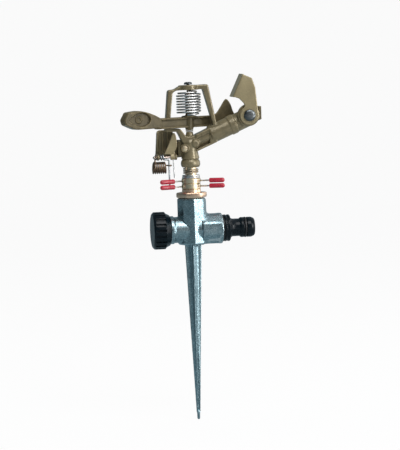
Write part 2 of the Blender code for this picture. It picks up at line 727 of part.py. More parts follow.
def make_base_housing():
    column = extruded("base_housing", polygon(COLUMN_SIDES, COLUMN_RADIUS), 0.0, COLUMN_TOP_Z,
                      zinc(), "XY", COLUMN_CHAMFER)
    half_side_deg = 180.0 / COLUMN_SIDES
    flat_radius = SOCKET_FLAT_HALF / math.cos(math.radians(half_side_deg))
    socket = [(y, CROSS_AXIS_Z + z) for y, z in polygon(COLUMN_SIDES, flat_radius, half_side_deg)]
    join(column, extruded("socket_block", socket, SOCKET_SHOULDER_X,
                          SOCKET_END_X - SOCKET_LIP_WIDTH / 2, plane="YZ"))
    centre = (0.0, 0.0, CROSS_AXIS_Z)
    ring_end = STUB_RING_X - STUB_RING_WIDTH
    lip_start = SOCKET_END_X - SOCKET_LIP_WIDTH
    body_radius = SOCKET_FLAT_HALF - COLUMN_CHAMFER
    outer = [(0.0, STUB_END_X), (STUB_THREAD_RADIUS - COLUMN_CHAMFER, STUB_END_X),
             (STUB_THREAD_RADIUS, STUB_END_X + COLUMN_CHAMFER), (STUB_THREAD_RADIUS, ring_end),
             (STUB_RING_RADIUS, ring_end), (STUB_RING_RADIUS, STUB_RING_X),
             (STUB_RADIUS, STUB_RING_X), (STUB_RADIUS, 0.0), (SOCKET_SHOULDER_RADIUS, 0.0),
             (body_radius, SOCKET_SHOULDER_X), (body_radius, lip_start),
             (SOCKET_LIP_RADIUS, lip_start), (SOCKET_LIP_RADIUS, SOCKET_END_X), (0.0, SOCKET_END_X)]
    join(column, turned("cross_barrel", outer, None, centre, (1, 0, 0)))
    past_socket = (SOCKET_END_X + OVERLAP, 0, CROSS_AXIS_Z)
    cut(column, rod("waterway", WATERWAY_RADIUS, (STUB_END_X - OVERLAP, 0, CROSS_AXIS_Z),
                    past_socket))
    cut(column, rod("socket_bore", SOCKET_BORE_RADIUS,
                    (SOCKET_END_X - SOCKET_BORE_DEPTH, 0, CROSS_AXIS_Z), past_socket))
    cut(column, rod("riser_bore", RISER_BORE_RADIUS, centre, (0, 0, SLEEVE_BORE_FLOOR_Z + OVERLAP)))
    cut(column, rod("sleeve_bore", SLEEVE_BORE_RADIUS, (0, 0, SLEEVE_BORE_FLOOR_Z),
                    (0, 0, COLUMN_TOP_Z + OVERLAP)))
    cut(column, rod("spike_socket", SPIGOT_RADIUS + CLEARANCE, (0, 0, -OVERLAP),
                    (0, 0, SPIGOT_HEIGHT + CLEARANCE)))


# End cap

def ribbed_ring(x, radius, groove):
    """Ring of points about the cross axis, with a rib and a groove for each pitch."""
    out = []
    for i in range(CAP_RIBS):
        for share, depth in ((0.0, 0.0), (0.5, 0.0), (0.62, groove), (0.88, groove)):
            a = math.tau * (i + share) / CAP_RIBS
            r = radius - depth
            out.append((x, r * math.cos(a), CROSS_AXIS_Z + r * math.sin(a)))
    return out


def make_end_cap():
    mouth_x = STUB_RING_X - STUB_RING_WIDTH - CLEARANCE
    rib_start_x = mouth_x - CAP_PLAIN_MOUTH
    end_radius = CAP_RADIUS - CAP_END_CHAMFER
    cap = loft("end_cap", [ribbed_ring(CAP_END_X, end_radius, 0.0),
                           ribbed_ring(CAP_END_X + CAP_END_CHAMFER, CAP_RADIUS, CAP_GROOVE_DEPTH),
                           ribbed_ring(rib_start_x, CAP_RADIUS, CAP_GROOVE_DEPTH),
                           ribbed_ring(rib_start_x + CAP_END_CHAMFER / 2, end_radius, 0.0),
                           ribbed_ring(mouth_x, CAP_MOUTH_RADIUS, 0.0)], black_plastic())
    cut(cap, rod("cap_bore", STUB_THREAD_RADIUS + CLEARANCE, (CAP_FLOOR_X, 0, CROSS_AXIS_Z),
                 (mouth_x + OVERLAP, 0, CROSS_AXIS_Z), steps=ROUND_STEPS))
    washer = ring("end_cap_washer", CAP_WASHER_HOLE, STUB_THREAD_RADIUS, CAP_FLOOR_X + CLEARANCE,
                  CAP_WASHER_THICKNESS, seal_rubber(), 0.0, (0, 0, CROSS_AXIS_Z), (1, 0, 0))
    hang([cap, washer], pivot("cap_axis", (CAP_END_X, 0.0, CROSS_AXIS_Z)))


# Hose nipple with its seals

def make_hose_adapter():
    thread = SOCKET_BORE_RADIUS - CLEARANCE
    thread_start = SOCKET_END_X - NIPPLE_THREAD_LENGTH
    groove_half = O_RING_WIRE_RADIUS + CLEARANCE
    flange_x, flange_end, neck_end = ADAPTER_FLANGE_X, ADAPTER_FLANGE_END_X, ADAPTER_NECK_END_X
    edge = ADAPTER_EDGE
    outer = [(NIPPLE_BORE_RADIUS, thread_start), (thread, thread_start), (thread, flange_x),
             (ADAPTER_FLANGE_RADIUS - edge, flange_x), (ADAPTER_FLANGE_RADIUS, flange_x + edge),
             (ADAPTER_FLANGE_RADIUS, flange_end - edge),
             (ADAPTER_NECK_RADIUS + 2 * edge, flange_end + edge),
             (ADAPTER_NECK_RADIUS, flange_end + 3 * edge),
             (ADAPTER_NECK_RADIUS, neck_end - 2 * edge), (NIPPLE_RADIUS, neck_end),
             (NIPPLE_RADIUS, O_RING_X - groove_half), (O_RING_GROOVE_RADIUS, O_RING_X - groove_half),
             (O_RING_GROOVE_RADIUS, O_RING_X + groove_half), (NIPPLE_RADIUS, O_RING_X + groove_half),
             (NIPPLE_RADIUS, O_RING_X + groove_half + 2 * edge),
             (NIPPLE_TIP_RADIUS + edge, NIPPLE_END_X - 3 * edge), (NIPPLE_TIP_RADIUS, NIPPLE_END_X),
             (NIPPLE_BORE_RADIUS, NIPPLE_END_X)]
    centre = (0, 0, CROSS_AXIS_Z)
    turned("hose_adapter", outer, black_plastic(), centre, (1, 0, 0))
    o_ring_centre = O_RING_GROOVE_RADIUS + CLEARANCE + O_RING_WIRE_RADIUS
    section = [(o_ring_centre + a, O_RING_X + b) for a, b in polygon(O_RING_SIDES, O_RING_WIRE_RADIUS)]
    turned("adapter_o_ring", section, seal_rubber(), centre, (1, 0, 0))
    ring("adapter_washer", SOCKET_BORE_RADIUS, ADAPTER_FLANGE_RADIUS, SOCKET_END_X + CLEARANCE,
         ADAPTER_WASHER_THICKNESS, seal_rubber(), 0.0, centre, (1, 0, 0))


# Brass bearing

def make_sleeve_hexagon():
    """Hexagon with its corners turned off at both ends, bored for the sleeve."""
    corner = HEX_ACROSS_FLATS / math.sqrt(3.0)
    low, high = SLEEVE_BASE_Z, SLEEVE_BASE_Z + HEX_HEIGHT
    hexagon = extruded("sleeve_hexagon", polygon(6, corner), low, high, plane="XY")
    narrow, wide = corner - COLUMN_CHAMFER, corner + OVERLAP
    blank = turned("hexagon_blank", [(0.0, low - OVERLAP), (narrow, low - OVERLAP),
                                     (wide, low + OVERLAP), (wide, high - OVERLAP),
                                     (narrow, high + OVERLAP), (0.0, high + OVERLAP)])
    boolean(hexagon, blank, "INTERSECT")
    cut(hexagon, rod("hexagon_bore", COLLAR_SEAT_RADIUS, (0, 0, low - OVERLAP),
                     (0, 0, high + OVERLAP)))
    return hexagon


def make_bearing():
    thread = SLEEVE_BORE_RADIUS - CLEARANCE
    spigot_z = RETAINING_RING_Z - CLEARANCE
    profile = [(BEARING_BORE_RADIUS, SLEEVE_BOTTOM_Z), (thread, SLEEVE_BOTTOM_Z),
               (thread, SLEEVE_BASE_Z + OVERLAP), (SLEEVE_SHOULDER_RADIUS, SLEEVE_BASE_Z + OVERLAP),
               (SLEEVE_SHOULDER_RADIUS, SLEEVE_SHOULDER_TOP_Z),
               (COLLAR_SEAT_RADIUS, SLEEVE_SHOULDER_TOP_Z), (COLLAR_SEAT_RADIUS, spigot_z),
               (SLEEVE_SPIGOT_RADIUS, spigot_z), (SLEEVE_SPIGOT_RADIUS, SLEEVE_TOP_Z),
               (BEARING_BORE_RADIUS, SLEEVE_TOP_Z)]
    sleeve = turned("bearing_sleeve", profile, brass())
    join(sleeve, make_sleeve_hexagon())
    ring("thrust_washer_hard", BEARING_BORE_RADIUS, THRUST_WASHER_RADIUS, HARD_WASHER_Z,
         THRUST_WASHER_THICKNESS, white_nylon())
    ring("thrust_washer_soft", BEARING_BORE_RADIUS, THRUST_WASHER_RADIUS, SOFT_WASHER_Z,
         THRUST_WASHER_THICKNESS, seal_rubber())
    turned("bearing_tube", [(TUBE_BORE_RADIUS, TUBE_FLANGE_BOTTOM_Z),
                            (TUBE_FLANGE_RADIUS, TUBE_FLANGE_BOTTOM_Z),
                            (TUBE_FLANGE_RADIUS, TUBE_FLANGE_TOP_Z),
                            (TUBE_RADIUS, TUBE_FLANGE_TOP_Z),
                            (TUBE_RADIUS, TUBE_TOP_Z), (TUBE_BORE_RADIUS, TUBE_TOP_Z)], brass())
    ring("collar_retaining_ring", SLEEVE_SPIGOT_RADIUS + CLEARANCE, RETAINING_RING_RADIUS,
         RETAINING_RING_Z, RETAINING_RING_THICKNESS, bright_steel(), COLLAR_EDGE / 2)
    ring("spring_seat_washer", BEARING_BORE_RADIUS, SEAT_WASHER_RADIUS, SEAT_WASHER_Z,
         SEAT_WASHER_THICKNESS, bright_steel())


def make_bearing_spring():
    low = SPRING_BOTTOM_Z + BEARING_SPRING_WIRE
    high = SPRING_TOP_Z - BEARING_SPRING_WIRE
    points = coil(BEARING_SPRING_TURNS, lambda share: BEARING_SPRING_RADIUS,
                  lambda share: low + (high - low) * share, BEARING_SPRING_START_DEG)
    wire("bearing_spring", points, BEARING_SPRING_WIRE, bright_steel())
    print_self_gap("bearing_spring", points, BEARING_SPRING_WIRE)


# Trip collars

def level_direction(degrees):
    """Unit vector in the XY plane."""
    return Vector((math.cos(math.radians(degrees)), math.sin(math.radians(degrees)), 0.0))


def collar_wire_points(z, reach):
    """From the left arm's end round the back of the collar to the right arm's end."""
    left, right = level_direction(COLLAR_ARM_LEFT_DEG), level_direction(COLLAR_ARM_RIGHT_DEG)
    back = arc((0.0, 0.0), COLLAR_WIRE_ARC_RADIUS, COLLAR_ARM_LEFT_DEG - COLLAR_WIRE_BEND_DEG,
               COLLAR_ARM_RIGHT_DEG - 360.0 + COLLAR_WIRE_BEND_DEG, FINE_STEPS)
    level = Vector((0.0, 0.0, z))
    entry = COLLAR_WIRE_ARC_RADIUS + COLLAR_WIRE_STRAIGHT
    points = [left * reach + level, left * entry + level]
    points += [Vector((x, y, z)) for x, y in back]
    points += [right * entry + level, right * reach + level]
    return points


def make_collar_tip(name, middle, degrees):
    bore = COLLAR_WIRE_RADIUS + CLEARANCE
    bore_end = COLLAR_ARM_LENGTH + CLEARANCE
    mouth = TIP_RADIUS * 0.9
    profile = [(bore, TIP_START), (mouth, TIP_START), (TIP_RADIUS, TIP_START + TIP_NOSE / 2),
               (TIP_RADIUS, TIP_END - TIP_NOSE), (TIP_RADIUS * 0.7, TIP_END - TIP_NOSE / 4),
               (0.0, TIP_END), (0.0, bore_end), (bore, bore_end)]
    return turned(name, profile, red_vinyl(), (0, 0, middle), level_direction(degrees), HOLE_STEPS)


def make_collar(name, bottom):
    middle = bottom + COLLAR_HEIGHT / 2
    collar = ring(f"{name}_trip_collar", COLLAR_SEAT_RADIUS + CLEARANCE, COLLAR_RADIUS, bottom,
                  COLLAR_HEIGHT, brass(), COLLAR_EDGE)
    groove_points = collar_wire_points(middle, COLLAR_RADIUS + COLLAR_GROOVE_RUN)
    cut(collar, wire_solid(f"{name}_collar_groove", groove_points, COLLAR_WIRE_RADIUS + CLEARANCE))
    spring = wire(f"{name}_collar_wire", collar_wire_points(middle, COLLAR_ARM_LENGTH),
                  COLLAR_WIRE_RADIUS, bright_steel())
    tips = [make_collar_tip(f"{name}_collar_tip_{side}", middle, degrees)
            for side, degrees in (("left", COLLAR_ARM_LEFT_DEG), ("right", COLLAR_ARM_RIGHT_DEG))]
    hang([collar, spring] + tips, pivot(f"{name}_collar_axis", (0.0, 0.0, middle)))


# Head casting

def on_barrel(distance, offset=0.0):
    """Point at a distance along the barrel's axis, offset square to it and upwards."""
    return BARREL_ORIGIN + BARREL_DIRECTION * distance + BARREL_UP * offset


def bridge_outer():
    """Outline of the bridge in X and Z, clockwise from its top right corner."""
    step_x = -BRIDGE_BOSS_RADIUS - BRIDGE_STEP_WIDTH
    shelf_z = BRIDGE_LEFT_FOOT_Z - BRIDGE_SHELF_DEPTH
    root_z = BRIDGE_CROTCH_Z - BRIDGE_ROOT_DEPTH
    return rounded([(BRIDGE_RIGHT_TOP_X, BRIDGE_TOP_Z, SMALL_CORNER),
                    (-BRIDGE_BOSS_RADIUS, BRIDGE_TOP_Z - TIGHT_CORNER, MIDDLE_CORNER),
                    (step_x, BRIDGE_LEFT_TOP_Z + BRIDGE_BOSS_LIP, MIDDLE_CORNER),
                    (BRIDGE_LEFT_TOP_X, BRIDGE_LEFT_TOP_Z, MIDDLE_CORNER),
                    (BRIDGE_LEFT_FOOT_X, shelf_z, MIDDLE_CORNER),
                    (-BRIDGE_BOSS_RADIUS - BRIDGE_SHELF_DEPTH, shelf_z, SMALL_CORNER),
                    (-BRIDGE_ROOT_HALF_WIDTH, root_z, MIDDLE_CORNER),
                    (BRIDGE_ROOT_HALF_WIDTH, root_z, MIDDLE_CORNER),
                    (BRIDGE_RIGHT_FOOT_X, BRIDGE_RIGHT_FOOT_Z - BRIDGE_RIGHT_BAR, LARGE_CORNER)])


def bridge_inner():
    """Outline of the bridge's window, which follows the legs at the width of a bar."""
    bar = BRIDGE_BAR
    floor_z = BRIDGE_CROTCH_Z + CAST_EDGE
    return rounded([(BRIDGE_RIGHT_TOP_X - bar - WINDOW_SLANT, BRIDGE_TOP_Z - bar, TIGHT_CORNER),
                    (-BRIDGE_BOSS_RADIUS - BRIDGE_STEP_WIDTH + WINDOW_STEP,
                     BRIDGE_TOP_Z - bar - WINDOW_SLANT, TIGHT_CORNER),
                    (BRIDGE_LEFT_TOP_X + bar, BRIDGE_LEFT_TOP_Z - BRIDGE_LEFT_BAR_SHARE * bar, TIGHT_CORNER),
                    (BRIDGE_LEFT_FOOT_X + bar, BRIDGE_LEFT_FOOT_Z, SMALL_CORNER),
                    (-BRIDGE_BOSS_RADIUS, BRIDGE_LEFT_FOOT_Z - CLEARANCE, SMALL_CORNER),
                    (-FULCRUM_BOSS_RADIUS, floor_z, CAST_EDGE),
                    (FULCRUM_BOSS_RADIUS / 2, floor_z, CAST_EDGE),
                    (BRIDGE_RIGHT_FOOT_X - bar, BRIDGE_RIGHT_FOOT_Z + TIGHT_CORNER, MIDDLE_CORNER)])


def make_bridge():
    half = BRIDGE_DEPTH / 2
    bridge = extruded("bridge", bridge_outer(), -half, half, bevel=BRIDGE_EDGE)
    cut(bridge, extruded("bridge_window", bridge_inner(), -half - OVERLAP, half + OVERLAP))
    return bridge


def make_trip_bracket():
    """Ribbed plate behind the trip lever, with two ears for its pin."""
    back = BRACKET_FRONT_Y + BRACKET_THICKNESS
    left, right, low, high = BRACKET_LEFT_X, BRACKET_RIGHT_X, BRACKET_BOTTOM_Z, BRACKET_TOP_Z
    step_z = BARREL_AXIS_Z + BRACKET_STEP
    plate = rounded([(left, low, SMALL_CORNER),
                     (BRACKET_ROOT_RIGHT_X, low + MIDDLE_CORNER, 0.0),
                     (BRACKET_ROOT_RIGHT_X, step_z, 0.0), (right, step_z, MIDDLE_CORNER),
                     (right - MIDDLE_CORNER, high, MIDDLE_CORNER),
                     (left + MIDDLE_CORNER, high, LARGE_CORNER)])
    bracket = extruded("trip_bracket", plate, BRACKET_FRONT_Y, back)
    pitch = (right - left) / BRACKET_RIBS
    half_rib = BRACKET_RIB_WIDTH / 2
    for i in range(BRACKET_RIBS):
        x = left + pitch * (i + 0.5)
        rib = rectangle(x - half_rib, x + half_rib, low + BRACKET_RIB_FOOT, high - MIDDLE_CORNER)
        join(bracket, extruded(f"bracket_rib_{i}", rib, BRACKET_FRONT_Y - BRACKET_RIB_DEPTH,
                               BRACKET_FRONT_Y + OVERLAP))
    ear_radius = BRACKET_EAR_RADIUS
    ear = arc((TRIP_Y, TRIP_PIN_Z), ear_radius, 90.0, 270.0, 8)
    ear += [(back - OVERLAP, TRIP_PIN_Z - ear_radius), (back - OVERLAP, TRIP_PIN_Z + ear_radius)]
    for i, x in enumerate((left, BRACKET_RIGHT_EAR_X)):
        join(bracket, extruded(f"bracket_ear_{i}", ear, x, x + BRACKET_EAR_WIDTH, plane="YZ"))
    root = rectangle(BRACKET_ROOT_LEFT_X, BRACKET_ROOT_RIGHT_X + TIGHT_CORNER, low + LARGE_CORNER,
                     BARREL_AXIS_Z + LARGE_CORNER)
    join(bracket, extruded("bracket_root", root, OVERLAP, back - COLLAR_EDGE))
    cut(bracket, rod("trip_pin_hole", TRIP_PIN_RADIUS + CLEARANCE,
                     (left - OVERLAP, TRIP_Y, TRIP_PIN_Z), (right + OVERLAP, TRIP_Y, TRIP_PIN_Z),
                     steps=FINE_STEPS))
    return bracket


def make_barrel():
    edge = CAST_EDGE
    length = BARREL_END - BARREL_START
    low = BARREL_RING_START - BARREL_START
    high = low + BARREL_RING_WIDTH
    profile = [(0.0, 0.0), (BARREL_RADIUS - edge, 0.0), (BARREL_RADIUS, edge), (BARREL_RADIUS, low),
               (BARREL_RING_RADIUS, low + edge / 2), (BARREL_RING_RADIUS, high),
               (BARREL_RADIUS, high + edge / 2), (BARREL_RADIUS, length - edge),
               (BARREL_RADIUS - edge, length), (0.0, length)]
    return turned("barrel", profile, None, on_barrel(BARREL_START), BARREL_DIRECTION)


def make_barrel_rib():
    """Gusset under the barrel's neck."""
    foot = on_barrel(BARREL_START, -0.8 * BARREL_RADIUS)
    head = on_barrel(BARREL_START + OVERLAP)
    outline = [(0.0, BARREL_AXIS_Z - BARREL_RIB_DEPTH), (foot.x, foot.z), (head.x, head.z),
               (0.0, BARREL_AXIS_Z + OVERLAP)]
    return extruded("barrel_rib", outline, -BARREL_RIB_HALF_THICKNESS, BARREL_RIB_HALF_THICKNESS)


def beside_barrel(*places):
    """Outline in X and Z from (x, offset) places, the offset taken square to the barrel's axis."""
    tilt = math.radians(BARREL_TILT_DEG)
    return [(x, BARREL_AXIS_Z + x * math.tan(tilt) + offset / math.cos(tilt)) for x, offset in places]


def make_barrel_rails():
    """Rails over and under the barrel's neck, and the upright wall that closes their pocket."""
    half, low = RAIL_HALF_DEPTH, RAIL_UNDER_LOW
    outline = beside_barrel((RAIL_START_X, low), (CHEEK_END_X, low), (CHEEK_END_X, CHEEK_TOP),
                            (CHEEK_START_X, RAIL_TOP_HIGH), (RAIL_START_X, RAIL_TOP_HIGH))
    rails = extruded("barrel_rails", outline, -half, half)
    open_x = RAIL_START_X - OVERLAP
    pocket = beside_barrel((open_x, low + RAIL_THICKNESS), (CHEEK_START_X, low + RAIL_THICKNESS),
                           (CHEEK_START_X, RAIL_TOP_LOW), (open_x, RAIL_TOP_LOW))
    cut(rails, extruded("rail_pocket", pocket, -half - OVERLAP, half + OVERLAP))
    return rails


def make_hub():
    """The casting's turned middle: bulb, groove, cone and dome."""
    bulb_top = BODY_BOTTOM_Z + BULB_HEIGHT
    edge = CAST_EDGE
    profile = [(0.0, BODY_BOTTOM_Z), (BULB_RADIUS - edge, BODY_BOTTOM_Z),
               (BULB_RADIUS, BODY_BOTTOM_Z + edge), (BULB_RADIUS, bulb_top - 2 * edge),
               (BULB_RADIUS - edge, bulb_top - edge / 2), (BULB_RADIUS - 1.5 * edge, bulb_top),
               (BULB_RADIUS - edge, bulb_top + edge / 2), (BULB_RADIUS - edge / 2, bulb_top + edge),
               (CONE_TOP_RADIUS, CONE_TOP_Z), (CONE_TOP_RADIUS, BARREL_AXIS_Z + MIDDLE_CORNER),
               (DOME_TOP_RADIUS, DOME_TOP_Z), (0.0, DOME_TOP_Z)]
    return turned("sprinkler_body", profile, bronze_paint())


def make_fulcrum_boss():
    low, high = DOME_TOP_Z - BRIDGE_BAR, FULCRUM_BOSS_TOP_Z
    profile = [(0.0, low), (FULCRUM_BOSS_RADIUS + TIGHT_CORNER, low),
               (FULCRUM_BOSS_RADIUS, high - MIDDLE_CORNER),
               (FULCRUM_BOSS_RADIUS - COLLAR_EDGE, high), (0.0, high)]
    return turned("fulcrum_boss", profile, steps=SMALL_STEPS)


def make_front_boss():
    """Blind domed boss on the front of the hub, beside the plugged one."""
    depth = -FRONT_BOSS_FRONT_Y
    profile = [(0.0, 0.0), (FRONT_BOSS_RADIUS, 0.0), (FRONT_BOSS_RADIUS, depth - MIDDLE_CORNER),
               (FRONT_BOSS_RADIUS * 0.85, depth - CAST_EDGE), (FRONT_BOSS_RADIUS * 0.55, depth),
               (0.0, depth)]
    return turned("front_boss", profile, None, (FRONT_BOSS_X, 0.0, FRONT_BOSS_Z), (0, -1, 0),
                  SMALL_STEPS)


def make_sprinkler_body():
    body = make_hub()
    join(body, make_barrel_rails())
    join(body, rod("barrel_neck", BARREL_NECK_RADIUS, on_barrel(MIDDLE_CORNER),
                   on_barrel(BARREL_START + OVERLAP)))
    join(body, make_barrel())
    join(body, make_bridge())
    join(body, make_barrel_rib())
    join(body, rod("bridge_boss", BRIDGE_BOSS_RADIUS, (0, 0, BRIDGE_BOSS_BOTTOM_Z),
                   (0, 0, BRIDGE_TOP_Z - CLEARANCE), steps=ROUND_STEPS))
    join(body, make_fulcrum_boss())
    join(body, rod("side_boss", SIDE_BOSS_RADIUS, (SIDE_BOSS_X, 0.0, SIDE_BOSS_Z),
                   (SIDE_BOSS_X, SIDE_BOSS_FRONT_Y, SIDE_BOSS_Z)))
    join(body, make_front_boss())
    join(body, rod("flap_lug", LUG_RADIUS, (FLAP_PIVOT.x, LUG_FRONT_Y, FLAP_PIVOT.z),
                   (FLAP_PIVOT.x, LUG_BACK_Y, FLAP_PIVOT.z), steps=ROUND_STEPS))
    join(body, make_trip_bracket())

    cut(body, rod("bearing_bore", BEARING_BORE_RADIUS, (0, 0, BODY_BOTTOM_Z - OVERLAP),
                  (0, 0, TUBE_TOP_Z + CLEARANCE)))
    cut(body, rod("barrel_bore", BARREL_BORE_RADIUS, on_barrel(0.0), on_barrel(BARREL_END + OVERLAP)))
    cut(body, rod("inlet_bore", BARREL_BORE_RADIUS, (0, 0, TUBE_TOP_Z - OVERLAP), BARREL_ORIGIN))
    cut(body, rod("nozzle_seat", NOZZLE_RADIUS + CLEARANCE, on_barrel(BARREL_END - NOZZLE_SEAT_DEPTH),
                  on_barrel(BARREL_END + NOZZLE_SEAT_DEPTH)))
    pin_floor = FULCRUM_BOSS_TOP_Z - PIN_FOOT_DEPTH - CLEARANCE
    cut(body, rod("fulcrum_hole", PIN_RADIUS + CLEARANCE, (0, 0, pin_floor),
                  (0, 0, BRIDGE_TOP_Z + OVERLAP), steps=HOLE_STEPS))
    plug_floor = SIDE_BOSS_FRONT_Y + SIDE_PLUG_DEPTH + CLEARANCE
    cut(body, rod("plug_hole", SIDE_PLUG_RADIUS + CLEARANCE,
                  (SIDE_BOSS_X, SIDE_BOSS_FRONT_Y - OVERLAP, SIDE_BOSS_Z),
                  (SIDE_BOSS_X, plug_floor, SIDE_BOSS_Z), steps=HOLE_STEPS))
    screw_floor = LUG_FRONT_Y + FLAP_SCREW_DEPTH + CLEARANCE
    cut(body, rod("flap_screw_hole", FLAP_SCREW_RADIUS + CLEARANCE,
                  (FLAP_PIVOT.x, LUG_FRONT_Y - OVERLAP, FLAP_PIVOT.z),
                  (FLAP_PIVOT.x, screw_floor, FLAP_PIVOT.z), steps=HOLE_STEPS))


def make_side_plug():
    x, z, half = SIDE_BOSS_X, SIDE_BOSS_Z, SCREW_SLOT / 2
    front = SIDE_BOSS_FRONT_Y + SCREW_SLOT
    plug = rod("side_plug", SIDE_PLUG_RADIUS, (x, SIDE_BOSS_FRONT_Y + SIDE_PLUG_DEPTH, z),
               (x, front, z), brass(), HOLE_STEPS)
    slot = rectangle(x - 2 * SIDE_PLUG_RADIUS, x + 2 * SIDE_PLUG_RADIUS, z - half, z + half)
    cut(plug, extruded("plug_slot", slot, front - OVERLAP, front + SCREW_SLOT))


def make_nozzle():
    """Brass nozzle: a tapered waterway that ends in the jet hole."""
    start = BARREL_END - NOZZLE_SEAT_DEPTH + CLEARANCE
    end = BARREL_END + NOZZLE_LIP
    profile = [(BARREL_BORE_RADIUS, start), (NOZZLE_RADIUS, start), (NOZZLE_RADIUS, BARREL_END),
               (NOZZLE_TIP_RADIUS, end), (NOZZLE_JET_RADIUS, end),
               (NOZZLE_JET_RADIUS, end - 2 * NOZZLE_LIP)]
    turned("nozzle", profile, brass(), BARREL_ORIGIN, BARREL_DIRECTION, SMALL_STEPS)


# Fulcrum pin and the hammer arm

def make_fulcrum():
    bottom = FULCRUM_BOSS_TOP_Z - PIN_FOOT_DEPTH
    head = BRIDGE_TOP_Z + CLEARANCE
    top = head + PIN_HEAD_HEIGHT
    profile = [(0.0, bottom), (PIN_RADIUS, bottom), (PIN_RADIUS, head), (PIN_HEAD_RADIUS, head),
               (PIN_HEAD_RADIUS, top - CAST_EDGE), (PIN_HEAD_RADIUS - CAST_EDGE, top), (0.0, top)]
    pin = turned("fulcrum_pin", profile, plated_screw(), steps=SMALL_STEPS)
    reach, half = PIN_HEAD_RADIUS + OVERLAP, SCREW_SLOT / 2
    slot = rectangle(-reach, reach, -half, half)
    cut(pin, extruded("pin_slot", slot, top - SCREW_SLOT, top + OVERLAP, plane="XY"))


def arm_local(x, y):
    """World X and Y in the arm's own frame, whose X axis is the beam."""
    a = math.radians(-ARM_REST_DEG)
    return x * math.cos(a) - y * math.sin(a), x * math.sin(a) + y * math.cos(a)


def vane_stations():
    """Plan path of the drive vane in world X and Y, with its lower and upper edge.

    It leaves the beam, runs straight behind the barrel with an ear on its upper edge, and
    turns in a quarter of an ellipse until its spoon stands across the jet.
    """
    bottom, top = ARM_BOTTOM_Z, ARM_TOP_Z
    start = level_direction(ARM_REST_DEG) * (ARM_BEAM_OUT - OVERLAP)
    stations = [(start.x, start.y, bottom, top)]
    approach = 2.2
    for share, lift in ((-approach, 0.14), (-approach / 2, 0.58), (0.0, 1.0), (1.0, 0.69), (1.8, 0.07)):
        y = VANE_RUN_Y - VANE_RUN_BEND * (min(share, 0.0) / approach) ** 2
        stations.append((VANE_EAR_X + VANE_EAR_HALF_LENGTH * share, y, bottom - VANE_EAR_DROP,
                         top + VANE_EAR_RISE * lift))
    for degrees in (90.0, 62.0, 38.0, 17.0, 0.0):
        a = math.radians(degrees)
        share = 1.0 - degrees / 90.0
        stations.append((VANE_TURN_X + (VANE_REACH_X - VANE_TURN_X) * math.cos(a),
                         VANE_TIP_Y + (VANE_RUN_Y - VANE_TIP_Y) * math.sin(a),
                         bottom + VANE_SPOON_FLOOR * share,
                         top + VANE_SPOON_RISE * math.sin(min(1.0, 1.6 * share) * math.pi / 2)))
    return smooth_path(stations, 3)


def make_vane():
    """Curved vertical plate that carries the drive spoon into the jet."""
    stations = vane_stations()
    sections = []
    for i, (x, y, low, high) in enumerate(stations):
        before, after = stations[max(i - 1, 0)], stations[min(i + 1, len(stations) - 1)]
        run = Vector((after[0] - before[0], after[1] - before[1])).normalized()
        side = Vector((-run.y, run.x)) * VANE_HALF_THICKNESS
        ax, ay = arm_local(x + side.x, y + side.y)
        bx, by = arm_local(x - side.x, y - side.y)
        sections.append([(ax, ay, low), (bx, by, low), (bx, by, high), (ax, ay, high)])
    return loft("drive_vane", sections)


def weight_outline():
    """Front outline of the counterweight, as shares of its length and of its height."""
    low, height = WEIGHT_BOTTOM_Z, WEIGHT_TOP_Z - WEIGHT_BOTTOM_Z
    root_x = WEIGHT_INNER_X + WEIGHT_ROOT
    corners = [(root_x, ARM_BOTTOM_Z, TIGHT_CORNER), (root_x, ARM_TOP_Z, TIGHT_CORNER)]
    for along_share, up_share, radius in ((0.08, 0.70, MIDDLE_CORNER), (0.32, 0.89, LARGE_CORNER),
                                          (0.57, 1.0, LARGE_CORNER), (0.88, 0.93, CAST_EDGE),
                                          (1.0, 0.53, TIGHT_CORNER), (0.96, 0.27, TIGHT_CORNER),
                                          (0.66, 0.0, LARGE_CORNER), (0.03, 0.02, TIGHT_CORNER)):
        corners.append((WEIGHT_INNER_X - WEIGHT_LENGTH * along_share, low + height * up_share, radius))
    return rounded(corners, 2)


def recess_middle():
    return (WEIGHT_TOP_Z + WEIGHT_BOTTOM_Z) / 2 + COLLAR_EDGE


def recess_outline():
    """Eye-shaped recess: two arcs that meet in a point at the hub's side."""
    right = WEIGHT_INNER_X - WEIGHT_RECESS_INNER_MARGIN
    run = WEIGHT_LENGTH - WEIGHT_RECESS_INNER_MARGIN - WEIGHT_RECESS_OUTER_MARGIN
    half_height = (WEIGHT_TOP_Z - WEIGHT_BOTTOM_Z) * 0.37
    upper, lower = [], []
    for i in range(SMALL_STEPS + 1):
        share = i / SMALL_STEPS
        swell = math.sin(math.pi * share ** 0.75) ** 0.8 if 0 < i < SMALL_STEPS else 0.0
        upper.append((right - run * share, recess_middle() + half_height * swell))
        lower.append((right - run * share, recess_middle() - half_height * swell))
    return upper + lower[-2:0:-1]


def make_weight():
    """Counterweight with its eye-shaped recess and the small round mark in it."""
    front = -WEIGHT_HALF_THICKNESS
    weight = extruded("arm_weight", weight_outline(), front, WEIGHT_HALF_THICKNESS, bevel=BRIDGE_EDGE)
    floor = front + WEIGHT_RECESS_DEPTH
    cut(weight, extruded("weight_recess", recess_outline(), front - OVERLAP, floor))
    middle = WEIGHT_LENGTH / 2 + (WEIGHT_RECESS_INNER_MARGIN - WEIGHT_RECESS_OUTER_MARGIN) / 2
    mark = (WEIGHT_INNER_X - middle, floor + OVERLAP, recess_middle())
    join(weight, ring("weight_mark", WEIGHT_MARK_RADIUS - WEIGHT_MARK_WALL, WEIGHT_MARK_RADIUS, 0.0,
                      OVERLAP + WEIGHT_MARK_HEIGHT, None, 0.0, mark, (0, -1, 0), HOLE_STEPS))
    return weight


